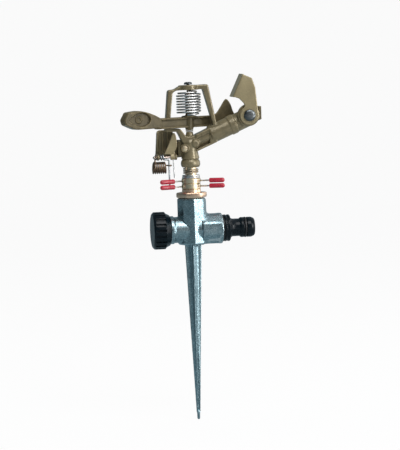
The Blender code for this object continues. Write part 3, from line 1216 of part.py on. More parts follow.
def make_hammer_arm():
    flange, web, thick = ARM_FLANGE_HALF_WIDTH, ARM_WEB_HALF_WIDTH, ARM_FLANGE_THICKNESS
    left, right = WEIGHT_INNER_X - OVERLAP, ARM_BEAM_OUT
    column = [(0.0, HUB_BOTTOM_Z), (ARM_HUB_RADIUS, HUB_BOTTOM_Z), (ARM_HUB_RADIUS, ARM_TOP_Z),
              (SPRING_SEAT_RADIUS, ARM_TOP_Z), (SPRING_SEAT_RADIUS, SPRING_SEAT_TOP_Z),
              (ARM_COLUMN_RADIUS, SPRING_SEAT_TOP_Z + COLLAR_EDGE),
              (ARM_COLUMN_RADIUS, ARM_COLUMN_TOP_Z), (0.0, ARM_COLUMN_TOP_Z)]
    arm = turned("hammer_arm", column, bronze_paint(), steps=SMALL_STEPS)
    web_side = rectangle(left, right, ARM_BOTTOM_Z + thick / 2, ARM_TOP_Z - thick / 2)
    join(arm, extruded("arm_web", web_side, -web, web))
    upper = rectangle(left, right, ARM_TOP_Z - thick, ARM_TOP_Z + CLEARANCE)
    join(arm, extruded("arm_upper_flange", upper, -flange, flange))
    lower = rectangle(left, right, ARM_BOTTOM_Z, ARM_BOTTOM_Z + thick)
    join(arm, extruded("arm_lower_flange", lower, -flange, flange))
    join(arm, make_weight())
    join(arm, make_vane())
    cut(arm, rod("arm_bore", BUSH_RADIUS + CLEARANCE, (0, 0, HUB_BOTTOM_Z - OVERLAP),
                 (0, 0, ARM_COLUMN_TOP_Z + OVERLAP), steps=HOLE_STEPS))
    arm.rotation_euler.z = math.radians(ARM_REST_DEG)
    for tool in tools_of(arm):
        tool.parent = arm


def make_arm_bearings():
    inner = PIN_RADIUS + CLEARANCE
    ring("arm_bush_lower", inner, BUSH_RADIUS, HUB_BOTTOM_Z, BUSH_LENGTH, brass(), steps=SMALL_STEPS)
    ring("arm_bush_upper", inner, BUSH_RADIUS, ARM_COLUMN_TOP_Z - BUSH_LENGTH, BUSH_LENGTH, brass(),
         steps=SMALL_STEPS)
    ring("arm_washer", inner, ARM_WASHER_RADIUS, ARM_WASHER_Z, ARM_WASHER_THICKNESS, white_nylon(),
         steps=SMALL_STEPS)


def make_arm_spring():
    low = SPRING_SEAT_TOP_Z + CLEARANCE + ARM_SPRING_WIRE
    high = BRIDGE_BOSS_BOTTOM_Z - CLEARANCE - ARM_SPRING_WIRE
    first_radius = SPRING_SEAT_RADIUS - ARM_SPRING_WIRE
    opening, closing = 0.06, 0.12

    def radius_at(share):
        if share < opening:
            return first_radius + (ARM_SPRING_RADIUS - first_radius) * share / opening
        if share > 1 - closing:
            left = (1 - share) / closing
            return ARM_SPRING_TOP_RADIUS + (ARM_SPRING_RADIUS - ARM_SPRING_TOP_RADIUS) * left
        return ARM_SPRING_RADIUS

    points = coil(ARM_SPRING_TURNS, radius_at, lambda share: low + (high - low) * share,
                  ARM_SPRING_START_DEG)
    wire("arm_spring", points, ARM_SPRING_WIRE, bright_steel())
    print_self_gap("arm_spring", points, ARM_SPRING_WIRE)


# Diffuser flap

def flap_outline():
    """Cheek of the flap, in X and Z: a disc round the screw that widens into the blade."""
    disc = arc((0.0, 0.0), FLAP_DISC_RADIUS, 20.0, -242.0, 24)
    blade = [FLAP_NOTCH_FOOT, FLAP_NOTCH, FLAP_HEEL, FLAP_TIP, FLAP_NOSE, FLAP_BROW]
    return [(FLAP_PIVOT.x + a, FLAP_PIVOT.z + b) for a, b in disc + blade]


def make_flap_roof():
    """Plate along the blade's inner edge that bends the jet down."""
    offset = Vector((FLAP_PIVOT.x, FLAP_PIVOT.z))
    low, high = offset + Vector(FLAP_HEEL), offset + Vector(FLAP_TIP)
    run = (high - low).normalized()
    across = Vector((run.y, -run.x))
    low, high = low - (across + run) * CLEARANCE, high - (across - run) * CLEARANCE
    inward = across * FLAP_ROOF_THICKNESS
    outline = [(p.x, p.y) for p in (low, low + inward, high + inward, high)]
    return extruded("deflector_roof", outline, FLAP_BACK_Y - FLAP_THICKNESS / 2,
                    FLAP_FRONT_Y + FLAP_ROOF_DEPTH)


def make_deflector():
    x, z = FLAP_PIVOT.x, FLAP_PIVOT.z
    cheek = extruded("deflector", flap_outline(), FLAP_FRONT_Y, FLAP_BACK_Y, bronze_paint(),
                     bevel=COLLAR_EDGE)
    join(cheek, make_flap_roof())
    cut(cheek, rod("deflector_hole", FLAP_SCREW_RADIUS + CLEARANCE, (x, FLAP_FRONT_Y - OVERLAP, z),
                   (x, FLAP_BACK_Y + OVERLAP, z), steps=HOLE_STEPS))
    head_back = FLAP_FRONT_Y - CLEARANCE
    height, edge = FLAP_SCREW_HEAD_HEIGHT, TIGHT_CORNER
    end = height + LUG_FRONT_Y + FLAP_SCREW_DEPTH - head_back
    profile = [(0.0, 0.0), (FLAP_SCREW_HEAD_RADIUS - edge, 0.0), (FLAP_SCREW_HEAD_RADIUS, edge),
               (FLAP_SCREW_HEAD_RADIUS, height), (FLAP_SCREW_RADIUS, height),
               (FLAP_SCREW_RADIUS, end), (0.0, end)]
    screw = turned("deflector_screw", profile, plated_screw(), (x, head_back - height, z), (0, 1, 0),
                   SMALL_STEPS)
    washer = ring("deflector_washer", FLAP_SCREW_RADIUS + CLEARANCE, FLAP_WASHER_RADIUS, 0.0,
                  FLAP_WASHER_THICKNESS, white_nylon(), 0.0, (x, FLAP_BACK_Y + CLEARANCE, z),
                  (0, 1, 0), SMALL_STEPS)
    hang([cheek, screw, washer], pivot("flap_axis", (x, FLAP_FRONT_Y, z)))


# Trip mechanism

def make_trip_pin():
    length = BRACKET_RIGHT_X - TRIP_PIN_LEFT_X
    ball = [(r, h) for h, r in arc((0.0, 0.0), TRIP_BALL_RADIUS, 150.0, 60.0, 3)]
    profile = [(0.0, -TRIP_BALL_RADIUS)] + ball
    profile += [(TRIP_PIN_RADIUS, TRIP_BALL_RADIUS), (TRIP_PIN_RADIUS, length), (0.0, length)]
    turned("trip_pivot_pin", profile, bright_steel(), (TRIP_PIN_LEFT_X, TRIP_Y, TRIP_PIN_Z),
           (1, 0, 0), HOLE_STEPS)


def lever_outline():
    """Fin in X and Z: round belly towards the hub, bowed back, blunt tip."""
    root = TRIP_PIN_Z + LEVER_EYE_RADIUS / 2
    foot = TRIP_PIN_Z + LEVER_EYE_RADIUS + CLEARANCE
    tip = TRIP_PIN_Z + LEVER_HEIGHT
    back_top_x = LEVER_TIP_X - LEVER_TIP_WIDTH / 2 - COLLAR_EDGE
    front = [(LEVER_EYE_LEFT_X, root, 0.0), (LEVER_EYE_RIGHT_X, root, 0.0),
             (LEVER_EYE_RIGHT_X, foot + MIDDLE_CORNER, COLLAR_EDGE),
             (LEVER_BELLY_X, TRIP_PIN_Z + 0.45 * LEVER_HEIGHT, MIDDLE_CORNER),
             (LEVER_TIP_X + LEVER_TIP_WIDTH / 2, tip - LARGE_CORNER, TIGHT_CORNER),
             (LEVER_TIP_X, tip, CAST_EDGE)]
    back = [(back_top_x, tip - SMALL_CORNER, TIGHT_CORNER)]
    for share in (0.72, 0.36):
        back.append((LEVER_HEEL_X + (back_top_x - LEVER_HEEL_X) * share + LEVER_BACK_BOW,
                     foot + (tip - foot) * share, SMALL_CORNER))
    back += [(LEVER_HEEL_X, foot, COLLAR_EDGE), (LEVER_EYE_LEFT_X, foot, 0.0)]
    return rounded(front + back)


def make_trip_lever():
    """Fin on a round eye that turns on the trip pin, with a thin wire as its tail."""
    lever = extruded("trip_lever", lever_outline(), TRIP_Y - LEVER_HALF_THICKNESS,
                     TRIP_Y + LEVER_HALF_THICKNESS, bronze_paint())
    left, right = (LEVER_EYE_LEFT_X, TRIP_Y, TRIP_PIN_Z), (LEVER_EYE_RIGHT_X, TRIP_Y, TRIP_PIN_Z)
    join(lever, rod("lever_eye", LEVER_EYE_RADIUS, left, right))
    cut(lever, rod("lever_bore", TRIP_PIN_RADIUS + CLEARANCE,
                   (LEVER_EYE_LEFT_X - OVERLAP, TRIP_Y, TRIP_PIN_Z),
                   (LEVER_EYE_RIGHT_X + OVERLAP, TRIP_Y, TRIP_PIN_Z), steps=FINE_STEPS))
    tail_x = (LEVER_EYE_LEFT_X + LEVER_EYE_RIGHT_X) / 2 + TAIL_WIRE_SET
    eye_bottom = TRIP_PIN_Z - LEVER_EYE_RADIUS
    tail_top = eye_bottom + TAIL_WIRE_ROOT
    cut(lever, rod("tail_hole", TAIL_WIRE_RADIUS + CLEARANCE, (tail_x, TRIP_Y, eye_bottom - OVERLAP),
                   (tail_x, TRIP_Y, tail_top + CLEARANCE), steps=8))
    tail = wire("lever_tail_wire", [(tail_x, TRIP_Y, tail_top), (tail_x, TRIP_Y, eye_bottom - OVERLAP),
                                    (tail_x + TAIL_WIRE_SET, TRIP_Y, TAIL_WIRE_BOTTOM_Z)],
                TAIL_WIRE_RADIUS, bright_steel())
    hang([lever, tail], pivot("lever_axis", left))


def make_trip_wire():
    """Eye wound round the pin, a run under the pin, and the drop to the collars."""
    eye = TRIP_PIN_RADIUS + CLEARANCE + TRIP_WIRE_RADIUS
    start_x = BRACKET_LEFT_X + BRACKET_EAR_WIDTH + CLEARANCE + TRIP_WIRE_RADIUS
    travel = (2 * TRIP_WIRE_RADIUS + TRIP_WIRE_COIL_GAP) * TRIP_WIRE_TURNS
    loops = [Vector((start_x + p.z, TRIP_Y + p.x, TRIP_PIN_Z + p.y))
             for p in coil(TRIP_WIRE_TURNS, lambda share: eye, lambda share: travel * share, 90.0,
                           FINE_STEPS)]
    corner = (TRIP_WIRE_DROP_X, TRIP_Y, TRIP_PIN_Z - eye)
    foot = (TRIP_WIRE_DROP_X, TRIP_Y, TRIP_WIRE_BOTTOM_Z)
    drop = bend([loops[-1], corner, foot], TRIP_WIRE_BEND, 5)
    trip = wire("trip_wire", loops + drop[1:], TRIP_WIRE_RADIUS, bright_steel())
    print_self_gap("trip_wire", loops, TRIP_WIRE_RADIUS, 7)
    hang([trip], pivot("trip_wire_axis", (start_x, TRIP_Y, TRIP_PIN_Z)))


def make_toggle_spring():
    """Coil beside the trip wire: one end hooks over the pin, the other round the wire."""
    run = TOGGLE_RIGHT_X - TOGGLE_LEFT_X
    loops = [Vector((TOGGLE_LEFT_X + p.z, TRIP_Y + p.x, TOGGLE_AXIS_Z + p.y))
             for p in coil(TOGGLE_TURNS, lambda share: TOGGLE_RADIUS, lambda share: run * share,
                           TOGGLE_START_DEG)]
    hook = TRIP_PIN_RADIUS + CLEARANCE + TOGGLE_WIRE
    over_pin = [Vector((TOGGLE_LEFT_X, TRIP_Y + y, TRIP_PIN_Z + z))
                for y, z in arc((0.0, 0.0), hook, 180.0, 0.0, 6)]
    grip = TRIP_WIRE_RADIUS + CLEARANCE + TOGGLE_WIRE
    round_wire = [Vector((TRIP_WIRE_DROP_X + x, TRIP_Y + y, loops[-1].z))
                  for x, y in arc((0.0, 0.0), grip, 90.0, -90.0, 6)]
    wire("toggle_spring", over_pin + loops + round_wire, TOGGLE_WIRE, bright_steel())
    print_self_gap("toggle_spring", loops, TOGGLE_WIRE)


def main():
    for old in list(bpy.data.objects):
        bpy.data.objects.remove(old, do_unlink=True)
    make_ground_spike()
    make_base_housing()
    make_end_cap()
    make_hose_adapter()
    make_bearing()
    make_bearing_spring()
    make_collar("lower", LOWER_COLLAR_Z)
    make_collar("upper", UPPER_COLLAR_Z)
    make_sprinkler_body()
    make_side_plug()
    make_nozzle()
    make_fulcrum()
    make_hammer_arm()
    make_arm_bearings()
    make_arm_spring()
    make_deflector()
    make_trip_pin()
    make_trip_lever()
    make_trip_wire()
    make_toggle_spring()


main()
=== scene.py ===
"""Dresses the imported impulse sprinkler: finished pieces, finishes, soft light and the camera.

Metres, +Z up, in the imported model's own frame.
"""
import json
from math import atan2, cos, prod, radians, sin, sqrt, tau

import bpy
from mathutils import Matrix, Vector


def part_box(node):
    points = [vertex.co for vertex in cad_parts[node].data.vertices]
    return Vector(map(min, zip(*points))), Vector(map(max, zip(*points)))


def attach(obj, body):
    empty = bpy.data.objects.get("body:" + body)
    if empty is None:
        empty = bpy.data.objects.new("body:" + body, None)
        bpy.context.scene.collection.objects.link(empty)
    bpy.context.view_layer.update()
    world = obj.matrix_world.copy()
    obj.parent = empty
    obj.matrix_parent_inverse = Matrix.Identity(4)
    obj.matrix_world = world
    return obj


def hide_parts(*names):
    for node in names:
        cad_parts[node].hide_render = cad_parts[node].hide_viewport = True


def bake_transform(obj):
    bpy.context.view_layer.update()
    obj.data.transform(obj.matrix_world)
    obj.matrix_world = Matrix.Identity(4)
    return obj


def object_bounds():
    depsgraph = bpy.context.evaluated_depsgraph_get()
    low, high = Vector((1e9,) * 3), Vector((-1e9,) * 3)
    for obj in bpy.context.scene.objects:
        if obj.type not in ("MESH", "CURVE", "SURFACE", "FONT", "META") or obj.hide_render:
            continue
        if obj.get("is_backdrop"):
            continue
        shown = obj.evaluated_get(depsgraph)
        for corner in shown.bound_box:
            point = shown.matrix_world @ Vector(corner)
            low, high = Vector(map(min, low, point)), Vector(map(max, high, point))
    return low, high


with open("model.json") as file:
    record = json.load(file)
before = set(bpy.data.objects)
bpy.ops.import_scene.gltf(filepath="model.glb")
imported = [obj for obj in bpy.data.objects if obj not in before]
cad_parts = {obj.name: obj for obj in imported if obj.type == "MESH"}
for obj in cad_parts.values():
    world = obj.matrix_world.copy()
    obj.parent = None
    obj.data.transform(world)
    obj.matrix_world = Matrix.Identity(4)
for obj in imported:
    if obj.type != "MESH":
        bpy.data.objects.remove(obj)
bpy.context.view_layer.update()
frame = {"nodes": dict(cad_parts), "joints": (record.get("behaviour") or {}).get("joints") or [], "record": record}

bl_info = {
    "name": "Impulse Sprinkler",
    "version": (1, 0, 0),
    "blender": (4, 5, 0),
    "location": "View3D > Sidebar > Sprinkler",
    "description": "Builds the visible pieces of an impulse sprinkler on a ground spike",
    "category": "Object",
}

# Fineness of the meshes
ROUND_SIDES = 72
SMALL_SIDES = 40
WIRE_SIDES = 14
COIL_POINTS = 28
SMOOTH_DEG = 32.0
WIRE_SMOOTH_DEG = 60.0
TIP_SMOOTH_DEG = 50.0
MERGE = 1e-6

# Sizes that several pieces share
FIT = 0.0003
TRIP_PIN_RADIUS = 0.0009
TRIP_ROD_RADIUS = 0.00075
ARM_DEG = {"left": 196.0, "right": 344.0}

ACROSS, BACKWARD, UP = (1.0, 0.0, 0.0), (0.0, 1.0, 0.0), (0.0, 0.0, 1.0)

# Places read from the frame
BOX = {name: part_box(name) for name in frame["nodes"]}
JOINT = {joint["name"]: joint for joint in frame["joints"]}
CROSS_AXIS_Z = JOINT["cap_turn"]["pos_m"][2]
TRIP_AXIS = Vector(JOINT["trip_wire_swing"]["pos_m"])


def span(node, axis):
    return [corner["XYZ".index(axis)] for corner in BOX[node]]


def low(node, axis):
    return span(node, axis)[0]


def high(node, axis):
    return span(node, axis)[1]


def half(node, axis):
    return (high(node, axis) - low(node, axis)) / 2


def middle(node):
    return (BOX[node][0] + BOX[node][1]) / 2


# Settings

def setting(kind, name, description, default, **limits):
    return getattr(bpy.props, kind)(name=name, description=description, default=default, **limits)


def length(*given):
    return setting("FloatProperty", *given, min=0.0, unit="LENGTH", precision=5)


def count(*given, least=0):
    return setting("IntProperty", *given, min=least)


def angle(name, description, degrees):
    return setting("FloatProperty", name, description, radians(degrees), subtype="ANGLE")


def colour(*given):
    return setting("FloatVectorProperty", *given, size=3, min=0.0, max=1.0, subtype="COLOR")


class SprinklerSizes(bpy.types.PropertyGroup):
    """Sizes of the finished pieces that a user may change."""

    cast_voxel: length("Casting fineness", "Mesh size of the large castings", 0.00042)
    fine_voxel: length("Small casting fineness", "Mesh size of the small castings", 0.00026)
    cast_rounding: count("Casting rounding", "Smoothing passes over a casting's edges", 6)
    socket_rounding: count("Socket rounding", "Smoothing passes over the socket's corners", 150)
    spike_rounding: count("Spike rounding", "Smoothing passes over the spike's edges", 5)
    spike_fillet: setting("FloatProperty", "Spike hollow",
                          "Share of a fin's side that the hollow takes", 0.9, min=0.0, max=0.95)
    spike_thinning: setting("FloatProperty", "Spike fin taper",
                            "Thickness left at a fin's outer edge, as a share", 0.36, min=0.1, max=1.0)
    arm_spring_wire: length("Arm spring wire", "Radius of the arm spring's wire", 0.0008)
    arm_spring_radius: length("Arm spring radius", "Radius of the arm spring's coils", 0.0103)
    arm_spring_turns: setting("FloatProperty", "Arm spring turns", "Coils round the arm's hub", 8.5,
                              min=1.0)
    cap_ribs: count("Cap ribs", "Ribs round the end cap", 20, least=6)
    cap_groove: length("Cap groove", "Depth between the end cap's ribs", 0.0012)


class SprinklerColours(bpy.types.PropertyGroup):
    """Base colours of the finishes."""

    # The arm and the flap wear shaded and lit copies of this tone: painted shade and painted light.
    bronze: colour("Bronze paint", "Paint on the head, the arm and the flap", (0.205, 0.172, 0.098))
    bronze_worn: colour("Worn bronze", "Paint rubbed thin on the edges", (0.40, 0.31, 0.17))
    zinc: colour("Zinc", "Plated casting of base and spike", (0.33, 0.46, 0.50))
    zinc_dark: colour("Zinc blotches", "Darker crystals in the plating", (0.16, 0.235, 0.265))
    brass: colour("Brass", "Turned brass of collars and nozzle", (0.76, 0.64, 0.45))
    copper: colour("Copper brass", "Reddish brass of the bearing sleeve", (0.80, 0.57, 0.41))
    wire: colour("Coppered wire", "Bearing spring", (0.46, 0.38, 0.28))
    aged: colour("Aged wire", "Toggle spring", (0.22, 0.15, 0.10))
    pale: colour("Pale wire", "Pin of the trip mechanism", (0.74, 0.60, 0.53))
    steel: colour("Bright steel", "Drawn wire and washers", (0.72, 0.71, 0.70))
    dull: colour("Dull steel", "Trip rod", (0.45, 0.47, 0.49))
    screw: colour("Plated screw", "Grey plating of the screws", (0.13, 0.14, 0.145))
    plastic: colour("Black plastic", "End cap and hose nipple", (0.003, 0.008, 0.012))
    red: colour("Red vinyl", "Tips of the collar wires", (0.56, 0.022, 0.050))
    rubber: colour("Seal rubber", "Washers and the O-ring", (0.006, 0.008, 0.010))
    nylon: colour("Nylon", "Bearing washers", (0.40, 0.39, 0.35))


class SprinklerStage(bpy.types.PropertyGroup):
    """Where the camera stands."""

    distance: length("Camera distance", "From the aim point to the lens", 2.2)
    azimuth: angle("Azimuth", "Camera's turn round the axis", -9.0)
    elevation: angle("Elevation", "Camera's height angle", 4.8)
    roll: angle("Roll", "Lean of the picture", -1.85)
    frame_height: length("Picture height", "What the picture spans at the object", 0.4035)


# Working with pieces

def mode(name):
    bpy.ops.object.mode_set(mode=name)


def deselect():
    """Leave edit mode and clear the selection, so that an operator acts on nothing by chance."""
    active = bpy.context.view_layer.objects.active
    if active is not None and active.mode != "OBJECT":
        mode("OBJECT")
    bpy.ops.object.select_all(action="DESELECT")


def pick(piece):
    deselect()
    piece.select_set(True)
    bpy.context.view_layer.objects.active = piece
    return piece


def edit_all(piece):
    pick(piece)
    mode("EDIT")
    bpy.ops.mesh.select_mode(type="VERT")
    bpy.ops.mesh.select_all(action="SELECT")


def named(name):
    """Name the new primitive and bring its place into its mesh."""
    piece = bpy.context.object
    piece.name = piece.data.name = name
    bpy.ops.object.transform_apply()
    return piece


def modify(piece, kind, **settings):
    """Add a modifier and apply it."""
    pick(piece)
    bpy.ops.object.modifier_add(type=kind)
    step = piece.modifiers[-1]
    for key, value in settings.items():
        setattr(step, key, value)
    bpy.ops.object.modifier_apply(modifier=step.name)
    return piece


def soften(piece, width, segments=2, sharper_than=30.0):
    """Round the edges that bend by more than an angle in degrees."""
    return modify(piece, "BEVEL", width=width, segments=segments, limit_method="ANGLE",
                  angle_limit=radians(sharper_than))


def combine(piece, operation, tool):
    """Cut, fuse or cross a piece with a tool's shape, and delete the tool."""
    modify(piece, "BOOLEAN", operation=operation, solver="EXACT", object=tool)
    bpy.data.objects.remove(tool, do_unlink=True)
    return piece


def paint(piece, slot):
    piece.data.materials.clear()
    piece.data.materials.append(FINISH[slot])


def finish_piece(piece, body, slot, node=None, smooth=SMOOTH_DEG):
    """Shade a piece, dress it in its slot's finish and let it ride in place of its node."""
    pick(piece)
    bpy.ops.object.shade_smooth_by_angle(angle=radians(smooth))
    paint(piece, slot)
    if node:
        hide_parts(node)
    if body is not None:
        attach(piece, body)
    return piece


def stand(piece, origin, axis):
    """Turn a piece modelled along +Z to an axis and move it to its origin."""
    pick(piece)
    turn = Vector(UP).rotation_difference(Vector(axis).normalized())
    piece.matrix_world = Matrix.Translation(Vector(origin)) @ turn.to_matrix().to_4x4()
    bpy.ops.object.transform_apply()
    return piece


def lathe(name, stations, sides=ROUND_SIDES, hollow=False):
    """Grow a turned piece from a circle, extruded and scaled through (height, radius) stations.

    A hollow piece's profile runs back to where it started.
    """
    deselect()
    if hollow:
        stations = stations + [stations[0]]
    height, radius = stations[0]
    bpy.ops.mesh.primitive_circle_add(vertices=sides, radius=radius, location=(0, 0, height))
    piece = named(name)
    edit_all(piece)
    for (start, inner), (end, outer) in zip(stations, stations[1:]):
        bpy.ops.mesh.extrude_region_move(TRANSFORM_OT_translate={"value": (0, 0, end - start)})
        share = outer / inner
        bpy.ops.transform.resize(value=(share, share, 1.0), center_override=(0, 0, end))
    return tidied(piece, fill=True)


def drill(name, radius, start, end, sides=SMALL_SIDES):
    """Round bar between two points."""
    start, end = Vector(start), Vector(end)
    bar = lathe(name, [(0.0, radius), ((end - start).length, radius)], sides)
    return stand(bar, start, end - start)


def choose(piece, kind, elements, test):
    """Select the elements that pass the test, and stay in edit mode with them."""
    pick(piece)
    mode("EDIT")
    bpy.ops.mesh.select_mode(type=kind)
    bpy.ops.mesh.select_all(action="DESELECT")
    mode("OBJECT")
    for element in elements:
        element.select = test(element)
    mode("EDIT")


def tidied(piece, fill=False, turn_out=True):
    """Merge doubles and, where asked, fill holes and point every face outwards."""
    edit_all(piece)
    bpy.ops.mesh.remove_doubles(threshold=MERGE)
    if fill:
        bpy.ops.mesh.fill_holes(sides=0)
        bpy.ops.mesh.select_all(action="SELECT")
    if turn_out:
        bpy.ops.mesh.normals_make_consistent(inside=False)
    mode("OBJECT")
    return piece


def linked(name, data):
    """New object in the scene, picked."""
    piece = bpy.data.objects.new(name, data)
    bpy.context.scene.collection.objects.link(piece)
    return pick(piece)


def wire(name, points, radius, sides=WIRE_SIDES):
    """Round wire along points, with closed ends, as a mesh."""
    deselect()
    line = bpy.data.curves.new(name, "CURVE")
    line.dimensions = "3D"
    line.bevel_depth = radius
    line.bevel_resolution = (sides - 4) // 2
    line.use_fill_caps = True
    spline = line.splines.new("POLY")
    spline.points.add(len(points) - 1)
    for target, point in zip(spline.points, points):
        target.co = (*point, 1.0)
    piece = linked(name, line)
    bpy.ops.object.convert(target="MESH")
    return tidied(piece)


def wire_piece(name, points, radius, body, slot, node):
    """Wire in its node's place."""
    return finish_piece(wire(name, points, radius), body, slot, node, smooth=WIRE_SMOOTH_DEG)


def node_copy(name, node):
    """Copy of a node's shape, with its loose triangles merged."""
    piece = linked(name, frame["nodes"][node].data.copy())
    bpy.ops.mesh.customdata_custom_splitnormals_clear()
    return tidied(piece, turn_out=False)


def cast(piece, voxel, passes):
    """Even mesh with the soft edges and filled corners that a mould leaves."""
    modify(piece, "REMESH", mode="VOXEL", voxel_size=voxel)
    return modify(piece, "SMOOTH", factor=0.5, iterations=passes)


def arc(centre, radius, from_deg, to_deg, steps):
    """Points on an arc, both ends included."""
    angles = [radians(from_deg + (to_deg - from_deg) * i / steps) for i in range(steps + 1)]
    return [(centre[0] + radius * cos(a), centre[1] + radius * sin(a)) for a in angles]


def helix(turns, radius_at, rise_at, start_deg):
    """Helix points about +Z. The two functions take the share of the way, 0 to 1."""
    steps = int(round(turns * COIL_POINTS))
    out = []
    for i in range(steps + 1):
        share = i / steps
        a = radians(start_deg) + tau * turns * share
        radius = radius_at(share)
        out.append(Vector((radius * cos(a), radius * sin(a), rise_at(share))))
    return out


def rounded_path(corners, radius, steps):
    """Polyline whose inner corners are rounded."""
    out = [corners[0]]
    for before, here, after in zip(corners, corners[1:], corners[2:]):
        start = here + (before - here).normalized() * radius
        end = here + (after - here).normalized() * radius
        for k in range(steps + 1):
            t = k / steps
            out.append(start * (1 - t) ** 2 + here * 2 * t * (1 - t) + end * t ** 2)
    return out + [corners[-1]]


# Shader building

def put(tree, kind, inputs=None, **settings):
    """Add a shader node. An input is set to a value, or joined when it is another socket."""
    made = tree.nodes.new("ShaderNode" + kind)
    for key, value in settings.items():
        setattr(made, key, value)
    for key, value in (inputs or {}).items():
        if isinstance(value, bpy.types.NodeSocket):
            tree.links.new(value, made.inputs[key])
        else:
            made.inputs[key].default_value = value
    return made


def join(tree, targets, **sockets):
    """Link sockets to the named inputs, where _ stands for a space."""
    for label, socket in sockets.items():
        tree.links.new(socket, targets[label.replace("_", " ")])


def rgba(values):
    return (values[0], values[1], values[2], 1.0)


def scaled(tone, *shares):
    """Tone times its shares, as a colour."""
    return rgba([min(1.0, prod((c, *shares))) for c in tone])


def ramp(tree, factor, *stops):
    """Grey or coloured ramp from (position, colour) stops."""
    made = put(tree, "ValToRGB", {"Fac": factor})
    elements = made.color_ramp.elements
    for i, (position, value) in enumerate(stops):
        element = elements[i] if i < 2 else elements.new(position)
        element.position = position
        element.color = rgba(value if isinstance(value, tuple) else (value, value, value))
    return made.outputs["Color"]


def mixed(tree, factor, first, second, blend="MIX"):
    """Colour mix of two sockets or colours."""
    return put(tree, "Mix", {0: factor, 6: first, 7: second}, data_type="RGBA",
               blend_type=blend).outputs[2]


def maths(tree, operation, first, second=0.0, third=0.0):
    return put(tree, "Math", {0: first, 1: second, 2: third}, operation=operation).outputs[0]


def dot(tree, vector, way):
    return put(tree, "VectorMath", {0: vector, 1: way}, operation="DOT_PRODUCT").outputs["Value"]


def noise(tree, vector, scale, detail=4.0, roughness=0.55):
    return put(tree, "TexNoise", {"Vector": vector, "Scale": scale, "Detail": detail,
                                  "Roughness": roughness}).outputs["Fac"]


def object_place(tree):
    return put(tree, "TexCoord").outputs["Object"]


GROUP = {}


def new_group(name, inputs, *outputs):
    """Shader group, kept under its name: inputs with their defaults, and number outputs."""
    tree = GROUP[name] = bpy.data.node_groups.new(name, "ShaderNodeTree")
    for label, default in inputs.items():
        kind = "NodeSocketVector" if isinstance(default, tuple) else "NodeSocketFloat"
        tree.interface.new_socket(label, in_out="INPUT", socket_type=kind).default_value = default
    for label in outputs:
        tree.interface.new_socket(label, in_out="OUTPUT", socket_type="NodeSocketFloat")
    return tree, tree.nodes.new("NodeGroupInput").outputs, tree.nodes.new("NodeGroupOutput").inputs


def use_group(tree, name, **values):
    made = put(tree, "Group", node_tree=GROUP[name])
    for label, value in values.items():
        made.inputs[label.replace("_", " ")].default_value = value
    return made.outputs


def make_wear_and_shade_group():
    """Mask of rubbed edges, and a mask of painted shade in the inner corners, broken up by noise."""
    tree, given, out = new_group("wear_and_corner_shade", {"Spread": 0.5, "Patch size": 140.0},
                                 "Edges", "Corners")
    place = object_place(tree)
    sharp = put(tree, "NewGeometry").outputs["Pointiness"]
    patches = noise(tree, place, given["Patch size"], 6.0)
    edges = ramp(tree, maths(tree, "MULTIPLY_ADD", patches, 0.10, sharp), (0.545, 0.0), (0.66, 1.0))
    # Painted shade: concave corners, where shade falls, get a darkening mask.
    corners = ramp(tree, sharp, (0.36, 1.0), (0.485, 0.0))
    join(tree, out, Edges=maths(tree, "MULTIPLY", edges, given["Spread"]),
         Corners=maths(tree, "MULTIPLY", corners, ramp(tree, patches, (0.3, 0.4), (0.6, 1.0))))


def make_grain_group():
    """Fine cast or moulded grain: a height for bump and a slow tone."""
    tree, given, out = new_group("fine_grain", {"Size": 1500.0, "Blotch size": 60.0}, "Height", "Tone")
    place = object_place(tree)
    fine = noise(tree, place, given["Size"], 3.0, 0.6)
    wide = noise(tree, place, given["Blotch size"], 5.0, 0.5)
    join(tree, out, Height=maths(tree, "ADD", fine, maths(tree, "MULTIPLY", wide, 0.35)), Tone=wide)


def make_crystal_group():
    """Plated zinc's crystals: cells of unlike tone with speckle between them."""
    tree, given, out = new_group("zinc_crystals", {"Size": 420.0}, "Tone", "Height")
    place = object_place(tree)
    stir = put(tree, "TexNoise", {"Vector": place, "Scale": 300.0}).outputs["Color"]
    pushed = put(tree, "VectorMath", {0: stir, "Scale": 0.0022}, operation="SCALE").outputs[0]
    bent = put(tree, "VectorMath", {0: place, 1: pushed}, operation="ADD").outputs[0]
    cells = put(tree, "TexVoronoi", {"Vector": bent, "Scale": given["Size"]}).outputs
    tone = put(tree, "SeparateColor", {0: cells["Color"]}).outputs[0]
    speckle = noise(tree, place, 900.0, 5.0, 0.7)
    cloud = noise(tree, place, 95.0, 4.0, 0.6)
    both = maths(tree, "MULTIPLY", tone, ramp(tree, speckle, (0.35, 0.25), (0.62, 1.0)))
    spread = maths(tree, "ADD", maths(tree, "MULTIPLY", both, 0.65),
                   maths(tree, "MULTIPLY", ramp(tree, cloud, (0.3, 0.2), (0.7, 0.8)), 0.5))
    join(tree, out, Tone=spread, Height=maths(tree, "ADD", speckle, cells["Distance"]))


def make_turning_group():
    """Fine rings that a lathe leaves, along an axis picked by the vector."""
    tree, given, out = new_group("turning_marks", {"Axis": UP, "Pitch": 9000.0}, "Height", "Tone")
    place = object_place(tree)
    along = maths(tree, "MULTIPLY", dot(tree, place, given["Axis"]), given["Pitch"])
    line = put(tree, "TexNoise", {"W": along, "Detail": 2.0, "Scale": 1.0}, noise_dimensions="1D")
    join(tree, out, Height=line.outputs["Fac"], Tone=noise(tree, place, 120.0, 3.0))


# Finishes

FINISH = {}


def shader(name, **constants):
    """New finish, kept under its name: its tree and its Principled shader with plain sockets set."""
    made = FINISH[name] = bpy.data.materials.new(name)
    made.use_nodes = True
    principled = made.node_tree.nodes["Principled BSDF"]
    for label, value in constants.items():
        principled.inputs[label.replace("_", " ")].default_value = value
    return made.node_tree, principled.inputs


